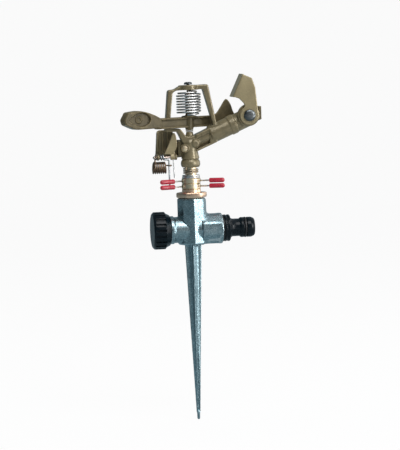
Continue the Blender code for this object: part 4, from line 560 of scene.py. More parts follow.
def dress(tree, inputs, base, rough, height, strength, distance):
    """Join a finish's colour, roughness and bump."""
    bump = put(tree, "Bump", {"Height": height, "Strength": strength, "Distance": distance})
    join(tree, inputs, Base_Color=base, Roughness=rough, Normal=bump.outputs["Normal"])


def bronze_paint(name, tones, painted_light_scale, **constants):
    """Olive bronze paint with fine flake, rubbed edges and painted shade in its corners. The painted-light scale
    brightens or darkens its tone, for lit and shaded copies of one paint.
    """
    tree, inputs = shader(name, **constants)
    wear_and_shade = use_group(tree, "wear_and_corner_shade", Spread=0.75, Patch_size=160.0)
    body = use_group(tree, "fine_grain", Size=1400.0, Blotch_size=70.0)
    flake = noise(tree, object_place(tree), 2600.0, 2.0, 0.5)
    base = mixed(tree, ramp(tree, body["Tone"], (0.35, 0.0), (0.68, 1.0)),
                 scaled(tones.bronze, painted_light_scale, 0.84), scaled(tones.bronze, painted_light_scale, 1.12))
    base = mixed(tree, ramp(tree, flake, (0.52, 0.0), (0.72, 0.4)), base,
                 scaled(tones.bronze_worn, painted_light_scale))
    base = mixed(tree, wear_and_shade["Edges"], base, rgba(tones.bronze_worn))
    # Painted shade: inner corners mixed towards near black.
    base = mixed(tree, maths(tree, "MULTIPLY", wear_and_shade["Corners"], 0.75), base, (0.03, 0.02, 0.01, 1))
    rough = ramp(tree, body["Tone"], (0.3, 0.25), (0.7, 0.38))
    dress(tree, inputs, base, rough, body["Height"], 0.25, 0.00025)


def zinc_plate(name, tones, size, contrast, rubbed):
    """Mottled bluish zinc with crystals, scuffed brighter on its edges, with painted shade in its inner corners.
    """
    tree, inputs = shader(name, Metallic=0.95)
    spots = use_group(tree, "zinc_crystals", Size=size)
    wear_and_shade = use_group(tree, "wear_and_corner_shade", Spread=rubbed, Patch_size=200.0)
    mask = ramp(tree, spots["Tone"], (0.5 - contrast, 0.0), (0.5 + contrast, 1.0))
    base = mixed(tree, mask, rgba(tones.zinc_dark), rgba(tones.zinc))
    base = mixed(tree, wear_and_shade["Edges"], base, (0.72, 0.75, 0.76, 1.0))
    # Painted shade: inner corners mixed towards near black.
    base = mixed(tree, maths(tree, "MULTIPLY", wear_and_shade["Corners"], 0.6), base, (0.05, 0.055, 0.05, 1))
    rough = ramp(tree, spots["Tone"], (0.2, 0.38), (0.8, 0.22))
    dress(tree, inputs, base, rough, spots["Height"], 0.28, 0.0002)


def turned_metal(name, tone, axis, roughness):
    """Machined metal with fine rings square to its axis and a slow change of tone."""
    tree, inputs = shader(name, Metallic=1.0)
    marks = use_group(tree, "turning_marks", Axis=axis)
    base = mixed(tree, ramp(tree, marks["Tone"], (0.35, 0.0), (0.65, 1.0)),
                 scaled(tone, 0.80), scaled(tone, 1.12))
    rough = ramp(tree, marks["Height"], (0.3, roughness * 0.8), (0.7, roughness * 1.3))
    dress(tree, inputs, base, rough, marks["Height"], 0.35, 0.00002)


def moulded(name, tone, roughness, grain_size, dust, **constants):
    """Moulded plastic or rubber: a slow change of gloss, dust in the tone and fine grain."""
    tree, inputs = shader(name, **constants)
    body = use_group(tree, "fine_grain", Size=grain_size, Blotch_size=55.0)
    base = mixed(tree, ramp(tree, body["Tone"], (0.42, 0.0), (0.72, 1.0)), rgba(tone),
                 rgba([c + dust for c in tone]))
    rough = ramp(tree, body["Tone"], (0.3, roughness * 0.8), (0.7, min(1.0, roughness * 1.25)))
    dress(tree, inputs, base, rough, body["Height"], 0.2, 0.00006)


def make_finishes(tones):
    """All finishes, by slot."""
    for make in (make_wear_and_shade_group, make_grain_group, make_crystal_group, make_turning_group):
        make()
    # Painted light and shade: one bronze in three tones, as is, a lit copy at 1.65 for the flap and lever, a
    # shaded copy at 0.55 for the arm.
    bronze_paint("bronze_paint", tones, 1.0, Metallic=0.25)
    bronze_paint("flap_paint_lit", tones, 1.65, Metallic=0.25)
    bronze_paint("arm_paint_shaded", tones, 0.55, Metallic=0.05, Specular_IOR_Level=0.12)
    zinc_plate("zinc_casting", tones, size=950.0, contrast=0.42, rubbed=0.6)
    zinc_plate("zinc_spike", tones, size=600.0, contrast=0.80, rubbed=0.15)
    for name, tone, axis, roughness in (
            ("brass", tones.brass, UP, 0.38), ("copper_brass", tones.copper, UP, 0.34),
            ("bright_steel", tones.steel, UP, 0.34), ("dull_steel", tones.dull, UP, 0.34),
            ("aged_wire", tones.aged, ACROSS, 0.42), ("coppered_wire", tones.wire, UP, 0.40),
            ("pale_wire", tones.pale, ACROSS, 0.25), ("plated_screw", tones.screw, UP, 0.34)):
        turned_metal(name, tone, axis, roughness)
    moulded("black_plastic", tones.plastic, 0.22, 2200.0, 0.005, Specular_IOR_Level=0.16)
    moulded("red_vinyl", tones.red, 0.38, 1800.0, 0.015, Coat_Weight=0.15)
    moulded("seal_rubber", tones.rubber, 0.45, 2600.0, 0.008)
    moulded("white_nylon", tones.nylon, 0.42, 1500.0, 0.04, Subsurface_Weight=0.1,
            Subsurface_Radius=(0.001, 0.001, 0.001))


def dress_inner_nodes():
    """Give the nodes that keep their own shape their finishes."""
    for entry in frame["record"]["subparts"]:
        paint(frame["nodes"][entry["node"]], entry["material_slot"])


# Pieces of the base

def make_spike(sizes):
    """Spike whose fins taper outwards and run into each other in a hollow."""
    spike = node_copy("spike", "ground_spike")
    lean_fins(spike, sizes.spike_thinning)
    fill_fin_roots(spike, sizes.spike_fillet)
    tidied(spike)
    tip = low("ground_spike", "Z")
    blunt = [(0.0, 0.0006), (0.0003, 0.0010), (0.0012, 0.0013), (0.0070, 0.0014), (0.0086, 0.0004)]
    combine(spike, "UNION", lathe("blunt_tip", [(tip + z, radius) for z, radius in blunt], SMALL_SIDES))
    cast(spike, sizes.cast_voxel, sizes.spike_rounding)
    finish_piece(spike, "base", "zinc_spike", "ground_spike")


def lean_fins(spike, share):
    """Take one side off every fin's outer edge, so that they thin outwards and lean one way round."""
    kept, fin_slope, top, core, core_top = 2 * share - 1, 1.3, -0.0002, 0.006, -0.001
    for along, turn, squeeze in ((0, 1.0, (1.0, kept, 1.0)), (1, -1.0, (kept, 1.0, 1.0))):

        def on_lost_side(vertex):
            x, y, z = vertex.co
            out, side = (abs(x), abs(y)) if along == 0 else (abs(y), abs(x))
            on_fin = out > fin_slope * side and z < top and (out > core or z < core_top)
            return x * y * turn > 0 and on_fin

        choose(spike, "VERT", spike.data.vertices, on_lost_side)
        bpy.ops.transform.resize(value=squeeze, center_override=(0.0, 0.0, 0.0))
        mode("OBJECT")


def fill_fin_roots(spike, share):
    """Round the long inner corners between the fins."""
    near, long = 0.0002, 0.05

    def is_root(edge):
        ends = [spike.data.vertices[i].co for i in edge.vertices]
        inner = all(abs(abs(end.x) - abs(end.y)) < near and end.z < -near for end in ends)
        return inner and abs(ends[0].z - ends[1].z) > long

    choose(spike, "EDGE", spike.data.edges, is_root)
    bpy.ops.mesh.bevel(offset_type="PERCENT", offset_pct=share * 100.0, segments=6, profile=0.36)
    mode("OBJECT")


def make_housing(sizes):
    """Base casting whose right socket is rounded, fading out before the column and the rim."""
    housing = cast(node_copy("housing", "base_housing"), sizes.cast_voxel, sizes.cast_rounding)
    socket = housing.vertex_groups.new(name="socket")
    start, end, fade = 0.0085, high("base_housing", "X") - 0.0030, 0.0015
    for vertex in housing.data.vertices:
        share = min(vertex.co.x - start, end - vertex.co.x) / fade
        if share > 0:
            socket.add([vertex.index], min(share, 1.0), "REPLACE")
    modify(housing, "SMOOTH", factor=0.5, iterations=sizes.socket_rounding, vertex_group="socket")
    finish_piece(housing, "base", "zinc_casting", "base_housing")


def make_outlet_thread():
    """Fine thread on the outlet, which shows when the cap is turned off."""
    start, lead = low("base_housing", "X"), 0.001
    long, pitch, radius = 0.0111 - 2 * lead, 0.001814, 0.0105
    points = [Vector((start + lead + p.z, p.x, CROSS_AXIS_Z + p.y))
              for p in helix(long / pitch, lambda share: radius, lambda share: long * share, 0.0)]
    thread = wire("outlet_thread", points, 0.00022, 8)
    finish_piece(thread, "base", "zinc_casting")


def make_cap(sizes):
    """Ribbed cap: a turned cup whose wall has grooves sunk between the ribs."""
    start, deep, radius = low("end_cap", "X"), 2 * half("end_cap", "X"), half("end_cap", "Z")
    bore, floor, face, wall_end = 0.0108, 0.0019, 0.0016, deep - 0.0046
    cap = lathe("cap", [(0.0, radius - 0.0036), (0.0, radius - face), (face, radius),
                        (wall_end, radius), (deep - 0.0034, radius - 0.0015),
                        (deep - 0.0004, 0.0138), (deep, 0.0134), (deep, bore), (floor, bore),
                        (floor, 0.002)], sizes.cap_ribs * 8)
    sink_grooves(cap, sizes, face, wall_end)
    soften(cap, 0.0003)
    stand(cap, (start, 0.0, CROSS_AXIS_Z), ACROSS)
    finish_piece(cap, "cap", "black_plastic", "end_cap")


def sink_grooves(cap, sizes, start, end):
    """Select the wall's faces between the ribs and push them in."""
    pitch, rib_share, level = tau / sizes.cap_ribs, 0.62, 0.3

    def in_groove(face):
        centre = face.center
        share = (atan2(centre.y, centre.x) / pitch) % 1.0
        outward = face.normal.x * centre.x + face.normal.y * centre.y > 0
        return (start < centre.z < end and abs(face.normal.z) < level and outward
                and share > rib_share)

    choose(cap, "FACE", cap.data.polygons, in_groove)
    bpy.ops.mesh.extrude_region_shrink_fatten(
        TRANSFORM_OT_shrink_fatten={"value": -sizes.cap_groove})
    mode("OBJECT")
    tidied(cap)


def make_nipple():
    """Hose nipple with its flange rings, waist, groove and lead-in."""
    start, end = span("hose_adapter", "X")
    flange = high("adapter_washer", "X") + FIT - start
    ring_x = middle("adapter_o_ring").x - start
    total = end - start
    bore, thread, groove, ridge, half_groove = 0.0055, 0.0089, 0.0067, 0.0090, 0.0014
    rings_and_waist = [(0.0, 0.0114), (0.0005, 0.0120), (0.0020, 0.0120), (0.0023, 0.0116),
                       (0.0031, 0.0116), (0.0034, 0.0120), (0.0050, 0.0120), (0.0056, 0.0112),
                       (0.0062, 0.0090), (0.0080, 0.0080), (0.0142, 0.0079), (0.0156, ridge)]
    stations = [(0.0, bore), (0.0, thread), (flange, thread)]
    stations += [(flange + x, radius) for x, radius in rings_and_waist]
    stations += [(ring_x - half_groove, ridge), (ring_x - half_groove, groove),
                 (ring_x + half_groove, groove), (ring_x + half_groove, ridge),
                 (total - 0.0030, ridge), (total - 0.0008, 0.0081), (total, 0.0074), (total, bore)]
    nipple = lathe("nipple", stations, hollow=True)
    soften(nipple, 0.00025)
    stand(nipple, (start, 0.0, CROSS_AXIS_Z), ACROSS)
    finish_piece(nipple, "base", "black_plastic", "hose_adapter")


def make_nipple_seal():
    seal = "adapter_o_ring"
    outer, thick = half(seal, "Z"), half(seal, "X")
    deselect()
    bpy.ops.mesh.primitive_torus_add(major_radius=outer - thick, minor_radius=thick,
                                     major_segments=ROUND_SIDES, minor_segments=16)
    ring = stand(named("nipple_seal"), (middle(seal).x, 0.0, CROSS_AXIS_Z), ACROSS)
    finish_piece(ring, "base", "seal_rubber", seal)


def make_sleeve():
    """Sleeve with its hexagon, whose corners are turned off."""
    bottom, top = span("bearing_sleeve", "Z")
    base, seat = high("base_housing", "Z") + FIT, low("collar_retaining_ring", "Z") - FIT
    height, width, past, turned = 0.0045, 0.024, 0.0004, 0.0016
    hexagon_top = base + height
    shoulder = hexagon_top + 0.0029
    bore, body, thread, collar_seat, spigot = 0.0054, 0.0084, 0.0092, 0.0066, 0.0062
    profile = [(bottom, bore), (bottom, thread), (base + 0.001, thread), (base + 0.001, body),
               (shoulder, body), (shoulder, collar_seat), (seat, collar_seat), (seat, spigot),
               (top, spigot), (top, bore)]
    sleeve = lathe("sleeve", profile, hollow=True)
    corner = width / sqrt(3.0)
    deselect()
    bpy.ops.mesh.primitive_cylinder_add(vertices=6, radius=corner, depth=height,
                                        location=(0, 0, (base + hexagon_top) / 2),
                                        rotation=(0, 0, radians(30.0)))
    hexagon = named("sleeve_hexagon")
    blank = lathe("hexagon_blank", [(base - 0.0005, corner - turned), (base + 0.0010, corner + past),
                                    (hexagon_top - 0.0010, corner + past),
                                    (hexagon_top + 0.0005, corner - turned)])
    combine(hexagon, "INTERSECT", blank)
    combine(hexagon, "DIFFERENCE",
            drill("hexagon_bore", 0.007, (0, 0, base - 0.002), (0, 0, hexagon_top + 0.002)))
    combine(sleeve, "UNION", hexagon)
    soften(sleeve, 0.00015, 1, 40.0)
    finish_piece(sleeve, "base", "copper_brass", "bearing_sleeve")


def make_steel_rings():
    """Flat rings with broken edges: the one over the collars and the bearing spring's seat."""
    for name, node, body, inner in (("retaining_ring", "collar_retaining_ring", "base", 0.0065),
                                    ("spring_washer", "spring_seat_washer", "head", 0.0054)):
        outer, (bottom, top) = half(node, "X"), span(node, "Z")
        made = lathe(name, [(bottom, inner), (bottom, outer), (top, outer), (top, inner)], hollow=True)
        soften(made, 0.0002)
        finish_piece(made, body, "bright_steel", node)


# Trip collars

def level_direction(degrees):
    return Vector((cos(radians(degrees)), sin(radians(degrees)), 0.0))


def make_collar(level):
    """Brass ring with its two wire holes, the wire sprung round it and a red tip on each end."""
    node, body = f"{level}_trip_collar", f"{level}_collar"
    bottom, top = span(node, "Z")
    centre = Vector((0.0, 0.0, (bottom + top) / 2))
    radius, bore, edge = half(node, "X"), 0.0069, 0.0004
    profile = [(bottom, bore), (bottom, radius - edge), (bottom + edge, radius),
               (top - edge, radius), (top, radius - edge), (top, bore)]
    collar = lathe(f"{level}_collar_ring", profile, hollow=True)
    for side, degrees in ARM_DEG.items():
        way = level_direction(degrees)
        combine(collar, "DIFFERENCE", drill(f"{level}_{side}_hole", 0.00125, way * 0.0072 + centre,
                                            way * 0.0120 + centre, 24))
    finish_piece(collar, body, "brass", node)
    make_collar_wire(level, centre, radius, body)
    for side, degrees in ARM_DEG.items():
        make_tip(level, side, level_direction(degrees), centre, body)


def make_collar_wire(level, centre, radius, body):
    """Wire that leaves the ring by both holes."""
    left, right = (level_direction(degrees) for degrees in ARM_DEG.values())
    reach, inside, outside, lead_deg = 0.0275, radius - 0.0006, radius + 0.001, 14.0
    points = [left * reach + centre, left * outside + centre]
    points += [Vector((x, y, centre.z)) for x, y in
               arc((0.0, 0.0), inside, ARM_DEG["left"] - lead_deg, ARM_DEG["right"] - 360.0 + lead_deg,
                   48)]
    points += [right * outside + centre, right * reach + centre]
    wire_piece(f"{level}_wire", points, 0.0007, body, "bright_steel", f"{level}_collar_wire")


def make_tip(level, side, way, centre, body):
    """Dipped tip: open at the wire, round at its end."""
    reach, long, radius, bore = 0.0305, 0.0140, 0.0021, 0.00095
    nose = arc((long - radius, 0.0), radius, 80.0, 15.0, 6)
    stations = [(0.0015, bore), (0.0, bore), (0.0, radius * 0.86), (0.0006, radius),
                (long - radius * 1.1, radius)]
    stations += [(long - radius + (h - long + radius) * 0.9, max(r, 0.0003)) for h, r in nose]
    tip = lathe(f"{level}_{side}_tip", stations, SMALL_SIDES)
    stand(tip, way * (reach - long) + centre, way)
    finish_piece(tip, body, "red_vinyl", f"{level}_collar_tip_{side}", smooth=TIP_SMOOTH_DEG)


# Head, arm and flap

def make_head(sizes):
    head = combine(node_copy("head_casting", "sprinkler_body"), "DIFFERENCE", bulb_rounding())
    cast(head, sizes.cast_voxel, sizes.cast_rounding)
    finish_piece(head, "head", "bronze_paint", "sprinkler_body")


def bulb_rounding():
    """Ring that takes the edges off the casting's bulb and leaves it barrel shaped."""
    bottom = low("sprinkler_body", "Z")
    outer, bulge, neck, middle_z = 0.0100, 0.0087, 0.0066, bottom + 0.0034
    profile = [(bottom - 0.0004, outer), (bottom - 0.0004, neck)]
    profile += [(middle_z + 0.0036 * sin(a), bulge - 0.0020 * (1 - cos(a) ** 0.8))
                for a in (radians(-82 + 164 * i / 16) for i in range(17))]
    profile += [(bottom + 0.0071, 0.0064), (bottom + 0.0078, neck), (bottom + 0.0080, outer)]
    return lathe("bulb_rounding", profile, hollow=True)


def make_casting(name, node, voxel, passes, body, slot):
    """Casting that is its node's shape with rounded edges and filled corners."""
    finish_piece(cast(node_copy(name, node), voxel, passes), body, slot, node)


def coil_rise(node, wire_radius):
    """Heights of an upright coil's ends, and its height at a share of the way."""
    bottom, top = low(node, "Z") + wire_radius, high(node, "Z") - wire_radius
    return bottom, top, lambda share: bottom + (top - bottom) * share


def make_arm_spring(sizes):
    """Coil round the arm's hub, narrowed at both ends, between the arm and the bridge; it is not attached to any
    body.
    """
    wire_radius, wide = sizes.arm_spring_wire, sizes.arm_spring_radius
    bottom, top, rise_at = coil_rise("arm_spring", wire_radius)
    first, last = 0.0068 - wire_radius, 0.0062
    opening, closing = 0.06, 0.12

    def radius_at(share):
        if share < opening:
            return first + (wide - first) * share / opening
        if share > 1 - closing:
            return last + (wide - last) * (1 - share) / closing
        return wide

    points = helix(sizes.arm_spring_turns, radius_at, rise_at, 250.0)
    spring = wire_piece("arm_coil", points, wire_radius, None, "bright_steel", "arm_spring")
    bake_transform(spring)


def make_bearing_spring():
    turns, radius, wire_radius = 2.5, 0.0062, 0.0008
    points = helix(turns, lambda share: radius, coil_rise("bearing_spring", wire_radius)[2], 40.0)
    wire_piece("bearing_coil", points, wire_radius, "head", "coppered_wire", "bearing_spring")


def screw_stations(radius, height, shank, total):
    """Pan head that rises from its rim, then the shank, from the top down."""
    crown = [(0.0, radius * 0.30), (height * 0.05, radius * 0.62), (height * 0.20, radius * 0.88),
             (height * 0.45, radius), (height, radius)]
    return crown + [(height, shank), (total, shank)]


def slotted(name, node, stations, cut, edge, body, slot, origin=None, axis=BACKWARD):
    """Turned piece at its node's front, with a driver's slot cut in it, given as (width, depth)."""
    piece = lathe(name, stations, SMALL_SIDES)
    deselect()
    bpy.ops.mesh.primitive_cube_add(size=1.0, scale=(half(node, "X") * 3, *cut))
    combine(piece, "DIFFERENCE", named(f"{name}_slot"))
    soften(piece, edge, 2, 40.0)
    stand(piece, origin or (middle(node).x, low(node, "Y"), middle(node).z), axis)
    finish_piece(piece, body, slot, node)


def make_flap_screw():
    node, height, shank, (front, back) = "deflector_screw", 0.0026, 0.0020, span("deflector_screw", "Y")
    stations = screw_stations(half(node, "X"), height, shank, back - front)
    slotted("flap_screw", node, stations, (0.0011, 0.0018), 0.00012, "flap", "plated_screw")


def make_arm_pin():
    node, height, shank, (bottom, top) = "fulcrum_pin", 0.0022, 0.0014, span("fulcrum_pin", "Z")
    stations = screw_stations(half(node, "X"), height, shank, top - bottom)
    slotted("arm_pin", node, stations, (0.0009, 0.0014), 0.00012, "head", "plated_screw",
            (0.0, 0.0, top), (0.0, 0.0, -1.0))


def make_side_plug():
    node = "side_plug"
    radius, (front, back) = half(node, "X"), span(node, "Y")
    slotted("boss_plug", node, [(0.0, radius), (back - front, radius)], (0.0008, 0.0014), 0.00015,
            "head", "brass")


# Trip mechanism

def make_trip_pin():
    """Pin with a ball at its free end."""
    node = "trip_pivot_pin"
    start, end = span(node, "X")
    ball = half(node, "Z")
    head = [(ball + h, max(r, 0.0002)) for h, r in arc((0.0, 0.0), ball, 175.0, 42.0, 10)]
    pin = lathe("trip_pin", head + [(end - start, TRIP_PIN_RADIUS)], SMALL_SIDES)
    stand(pin, (start, middle(node).y, middle(node).z), ACROSS)
    finish_piece(pin, "head", "pale_wire", node, smooth=TIP_SMOOTH_DEG)


def make_trip_wire():
    """Eye wound round the pin, a run under the pin, and the drop to the collars."""
    node, radius, gap, turns, bend = "trip_wire", TRIP_ROD_RADIUS, 0.0006, 1.5, 0.0024
    eye = TRIP_PIN_RADIUS + FIT + radius
    travel = (2 * radius + gap) * turns
    loops = [TRIP_AXIS + Vector((p.z, p.x, p.y))
             for p in helix(turns, lambda share: eye, lambda share: travel * share, 90.0)]
    drop_x, y = high(node, "X") - radius, TRIP_AXIS.y
    run = rounded_path([loops[-1], Vector((drop_x, y, TRIP_AXIS.z - eye)),
                        Vector((drop_x, y, low(node, "Z")))], bend, 10)
    wire_piece("trip_rod", loops + run[1:], radius, "trip", "dull_steel", node)


def make_tail_wire():
    node, radius, straight, bend = "lever_tail_wire", 0.0005, 0.0019, 0.0012
    bottom, top = span(node, "Z")
    start_x, end_x = low(node, "X") + radius, high(node, "X") - radius
    y = middle(node).y
    points = rounded_path([Vector((start_x, y, top)), Vector((start_x, y, top - straight)),
                           Vector((end_x, y, bottom))], bend, 8)
    wire_piece("lever_tail", points, radius, "lever", "bright_steel", node)


def make_toggle_spring():
    """Coil beside the trip rod: one end hooks over the pin, the other round the rod."""
    radius, wide, turns = 0.0007, 0.0048, 6.5
    left, run, overhang = TRIP_AXIS.x - 0.00415, 0.0090, 0.0030
    axis_z, y = TRIP_AXIS.z - 0.0090, TRIP_AXIS.y
    loops = [Vector((left + p.z, y + p.x, axis_z + p.y))
             for p in helix(turns, lambda share: wide,
                            lambda share: (run + overhang) * share - overhang, -160.0)]
    hook, grip = TRIP_PIN_RADIUS + FIT + radius, TRIP_ROD_RADIUS + FIT + radius
    over_pin = [Vector((left, y + a, TRIP_AXIS.z + b)) for a, b in arc((0, 0), hook, 180.0, 0.0, 16)]
    rod_x = high("trip_wire", "X") - TRIP_ROD_RADIUS
    round_rod = [Vector((rod_x + a, y + b, loops[-1].z)) for a, b in arc((0, 0), grip, 90.0, -90.0, 16)]
    made = wire_piece("toggle_coil", over_pin + loops + round_rod, radius, None, "aged_wire",
                      "toggle_spring")
    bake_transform(made)


# Stage

WHITE = (1.0, 1.0, 1.0, 1.0)
DIM_SIDE = (0.17, 0.235, 0.265)
LIT_PLACE = (0.0, 0.0, 0.05)
SENSOR_WIDTH = 36.0

# Name, place, size, power and the kind of ray that misses the lamp
LAMPS = (("key", (0.2, -0.9, 1.25), (0.9, 0.9), 14.0, None),
         ("right_window", (0.95, -0.75, 0.3), (0.35, 1.0), 4.5, "diffuse"),
         ("glint", (1.02, -1.09, 0.15), (0.22, 1.2), 12.0, "diffuse"),
         ("right_side", (1.2, 0.1, 0.2), (0.6, 1.0), 5.0, None),
         ("top", (0.1, 0.2, 1.2), (0.9, 0.9), 5.0, "glossy"))


def emptied(owner):
    """Node tree of a new material or world, cleared."""
    owner.use_nodes = True
    owner.node_tree.nodes.clear()
    return owner.node_tree


def stage_material():
    """White sheet that keeps the object's soft shadow. Metal sees it grow dim to the left."""
    made = bpy.data.materials.new("studio_white")
    tree = emptied(made)
    path = put(tree, "LightPath").outputs
    mirrored = maths(tree, "MAXIMUM", path["Is Glossy Ray"], path["Is Transmission Ray"])
    seen = maths(tree, "MAXIMUM", path["Is Camera Ray"], mirrored)
    forward = dot(tree, object_place(tree), (0.30, -0.15, 0.0))
    rise = ramp(tree, maths(tree, "ADD", forward, 0.5), (0.17, DIM_SIDE), (0.88, 1.0),
                (0.40, (0.34, 0.46, 0.52)), (0.5, (0.27, 0.37, 0.41)), (0.80, (0.55, 0.60, 0.62)))
    tone = mixed(tree, path["Is Camera Ray"], rise, WHITE)
    paper = put(tree, "BsdfDiffuse", {"Color": (0.86, 0.86, 0.86, 1.0)}).outputs["BSDF"]
    glow = put(tree, "Emission", {"Color": tone, "Strength": 1.0}).outputs["Emission"]
    both = put(tree, "MixShader", {0: maths(tree, "MULTIPLY", seen, 0.94), 1: paper, 2: glow})
    put(tree, "OutputMaterial", {"Surface": both.outputs["Shader"]})
    return made


def make_backdrop():
    """Floor that turns up into a wall behind the object in one sweep."""
    floor_z, size, back_edge, wall_height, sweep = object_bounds()[0].z - 0.0008, 6.0, 2.9, 3.0, 1.0
    deselect()
    bpy.ops.mesh.primitive_plane_add(size=size, location=(0.0, 0.0, floor_z))
    sheet = named("studio_sweep")
    choose(sheet, "EDGE", sheet.data.edges,
           lambda edge: all(sheet.data.vertices[i].co.y > back_edge for i in edge.vertices))
    bpy.ops.mesh.extrude_region_move(TRANSFORM_OT_translate={"value": (0, 0, wall_height)})
    mode("OBJECT")
    soften(sheet, sweep, 16)
    bpy.ops.object.shade_smooth_by_angle(angle=radians(WIRE_SMOOTH_DEG))
    sheet.data.materials.append(stage_material())
    sheet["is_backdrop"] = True


def make_lamps():
    for name, place, size, power, missed_by in LAMPS:
        deselect()
        bpy.ops.object.light_add(type="AREA", location=place)
        lamp = bpy.context.object
        lamp.name = name
        lamp.rotation_euler = (Vector(LIT_PLACE) - Vector(place)).to_track_quat("-Z", "Y").to_euler()
        lamp.data.shape = "RECTANGLE"
        lamp.data.size, lamp.data.size_y = size
        lamp.data.energy = power
        if missed_by:
            setattr(lamp, "visible_" + missed_by, False)


def make_world():
    """Room that is bright on the right and above, dark on the left, and white as a background."""
    world = bpy.data.worlds.new("studio_room")
    bpy.context.scene.world = world
    tree = emptied(world)
    way = put(tree, "TexCoord").outputs["Generated"]
    parts = put(tree, "SeparateXYZ", {0: way}).outputs

    def graded(part, *stops):
        return ramp(tree, maths(tree, "MULTIPLY_ADD", part, 0.5, 0.5), *stops)

    side = graded(dot(tree, way, (0.988, -0.156, 0.0)), (0.45, DIM_SIDE), (0.72, 1.0))
    depth = graded(parts["Y"], (0.1, 0.42), (0.8, 1.0))
    rise = graded(parts["Z"], (0.45, 0.5), (0.9, 0.75))
    tone = mixed(tree, 1.0, mixed(tree, 1.0, side, depth, "MULTIPLY"), rise, "MULTIPLY")
    tone = mixed(tree, put(tree, "LightPath").outputs["Is Camera Ray"], tone, WHITE)
    light = put(tree, "Background", {"Color": tone, "Strength": 1.0})
    put(tree, "OutputWorld", {"Surface": light.outputs[0]})


def make_camera(stage):
    """Camera at the photograph's angle, with the picture's lean."""
    aim_right, aim_up = 0.0067, 0.0171
    right = Vector((cos(stage.azimuth), sin(stage.azimuth), 0.0))
    aim = right * aim_right + Vector((0.0, 0.0, aim_up))
    back = Vector((sin(stage.azimuth) * cos(stage.elevation),
                   -cos(stage.azimuth) * cos(stage.elevation), sin(stage.elevation)))
    deselect()
    bpy.ops.object.camera_add(location=aim + back * stage.distance)
    camera = bpy.context.object
    camera.name = "photo_camera"
    camera.rotation_mode = "QUATERNION"
    lean = Matrix.Rotation(stage.roll, 4, "Z").to_quaternion()
    camera.rotation_quaternion = (-back).to_track_quat("-Z", "Y") @ lean
    camera.data.sensor_width = SENSOR_WIDTH
    camera.data.lens = SENSOR_WIDTH * stage.distance / stage.frame_height
    camera.data.clip_start, camera.data.clip_end = 0.01, 20.0
    bpy.context.scene.camera = camera


# Operators and panel

class Step:
    """Building step. They run in the order in which they stand here."""

    bl_options = {"REGISTER", "UNDO"}


class SPRINKLER_OT_finishes(Step, bpy.types.Operator):
    """Make every finish and dress the inner nodes"""

    bl_idname = "sprinkler.finishes"
    bl_label = "Finishes"

    def execute(self, context):
        make_finishes(context.scene.sprinkler_colours)
        dress_inner_nodes()
        return {"FINISHED"}


class SPRINKLER_OT_base(Step, bpy.types.Operator):
    """Spike, base housing and outlet thread"""

    bl_idname = "sprinkler.base"
    bl_label = "Base and spike"

    def execute(self, context):
        sizes = context.scene.sprinkler_sizes
        make_spike(sizes)
        make_housing(sizes)
        make_outlet_thread()
        return {"FINISHED"}


class SPRINKLER_OT_connections(Step, bpy.types.Operator):
    """End cap, hose nipple and its seal"""

    bl_idname = "sprinkler.connections"
    bl_label = "Cap and nipple"

    def execute(self, context):
        make_cap(context.scene.sprinkler_sizes)
        make_nipple()
        make_nipple_seal()
        return {"FINISHED"}


class SPRINKLER_OT_bearing(Step, bpy.types.Operator):
    """Bearing sleeve, steel rings and bearing spring"""

    bl_idname = "sprinkler.bearing"
    bl_label = "Bearing"

    def execute(self, context):
        make_sleeve()
        make_steel_rings()
        make_bearing_spring()
        return {"FINISHED"}


class SPRINKLER_OT_collars(Step, bpy.types.Operator):
    """Both trip collars with their wires and tips"""

    bl_idname = "sprinkler.collars"
    bl_label = "Trip collars"

    def execute(self, context):
        for level in ("lower", "upper"):
            make_collar(level)
        return {"FINISHED"}


class SPRINKLER_OT_head(Step, bpy.types.Operator):
    """Head casting with its plug and the arm's pin"""

    bl_idname = "sprinkler.head"
    bl_label = "Head"

    def execute(self, context):
        make_head(context.scene.sprinkler_sizes)
        make_side_plug()
        make_arm_pin()
        return {"FINISHED"}


class SPRINKLER_OT_arm(Step, bpy.types.Operator):
    """Hammer arm and its spring"""

    bl_idname = "sprinkler.arm"
    bl_label = "Hammer arm"

    def execute(self, context):
        sizes = context.scene.sprinkler_sizes
        # Painted shade: the arm wears the darkened copy of the bronze paint.
        make_casting("arm_casting", "hammer_arm", sizes.cast_voxel, sizes.cast_rounding - 2,
                     "hammer", "arm_paint_shaded")
        make_arm_spring(sizes)
        return {"FINISHED"}


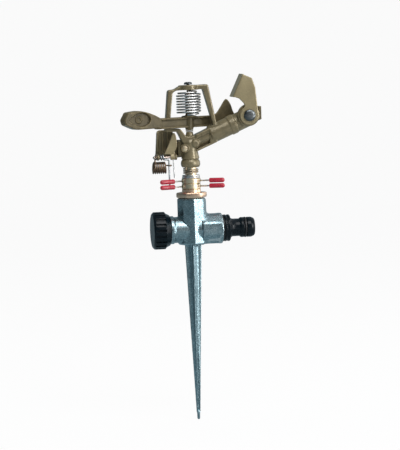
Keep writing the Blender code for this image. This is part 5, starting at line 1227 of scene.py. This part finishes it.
class SPRINKLER_OT_flap(Step, bpy.types.Operator):
    """Diffuser flap and its screw"""

    bl_idname = "sprinkler.flap"
    bl_label = "Diffuser flap"

    def execute(self, context):
        sizes = context.scene.sprinkler_sizes
        # Painted light: the flap wears the brightened copy of the bronze paint.
        make_casting("flap_casting", "deflector", sizes.fine_voxel, sizes.cast_rounding,
                     "flap", "flap_paint_lit")
        make_flap_screw()
        return {"FINISHED"}


class SPRINKLER_OT_trip(Step, bpy.types.Operator):
    """Trip lever, pin, rod, tail and toggle spring"""

    bl_idname = "sprinkler.trip"
    bl_label = "Trip mechanism"

    def execute(self, context):
        sizes = context.scene.sprinkler_sizes
        # Painted light: the lever wears the brightened copy of the bronze paint.
        make_casting("lever_casting", "trip_lever", sizes.fine_voxel, sizes.cast_rounding - 2,
                     "lever", "flap_paint_lit")
        make_trip_pin()
        make_trip_wire()
        make_tail_wire()
        make_toggle_spring()
        return {"FINISHED"}


class SPRINKLER_OT_stage(Step, bpy.types.Operator):
    """Floor, backdrop, lamps, room and camera"""

    bl_idname = "sprinkler.stage"
    bl_label = "Stage"

    def execute(self, context):
        make_backdrop()
        make_world()
        make_lamps()
        make_camera(context.scene.sprinkler_stage)
        context.scene.view_settings.view_transform = "Standard"
        return {"FINISHED"}


STEPS = Step.__subclasses__()


class SPRINKLER_PT_panel(bpy.types.Panel):
    """Lists the building steps and the settings"""

    bl_label = "Impulse Sprinkler"
    bl_idname = "SPRINKLER_PT_panel"
    bl_space_type = "VIEW_3D"
    bl_region_type = "UI"
    bl_category = "Sprinkler"

    def draw(self, context):
        for step in STEPS:
            self.layout.operator(step.bl_idname)
        for name in SETTINGS:
            settings = getattr(context.scene, name)
            box = self.layout.box()
            for key in settings.__annotations__:
                box.prop(settings, key)


SETTINGS = {"sprinkler_sizes": SprinklerSizes, "sprinkler_colours": SprinklerColours,
            "sprinkler_stage": SprinklerStage}
CLASSES = (*SETTINGS.values(), *STEPS, SPRINKLER_PT_panel)


def register():
    for made in CLASSES:
        bpy.utils.register_class(made)
    for key, group in SETTINGS.items():
        setattr(bpy.types.Scene, key, bpy.props.PointerProperty(type=group))


def unregister():
    for key in SETTINGS:
        delattr(bpy.types.Scene, key)
    for made in reversed(CLASSES):
        bpy.utils.unregister_class(made)


def main():
    register()
    for step in STEPS:
        getattr(bpy.ops.sprinkler, step.bl_idname.split(".")[1])()


if __name__ == "__main__":
    main()
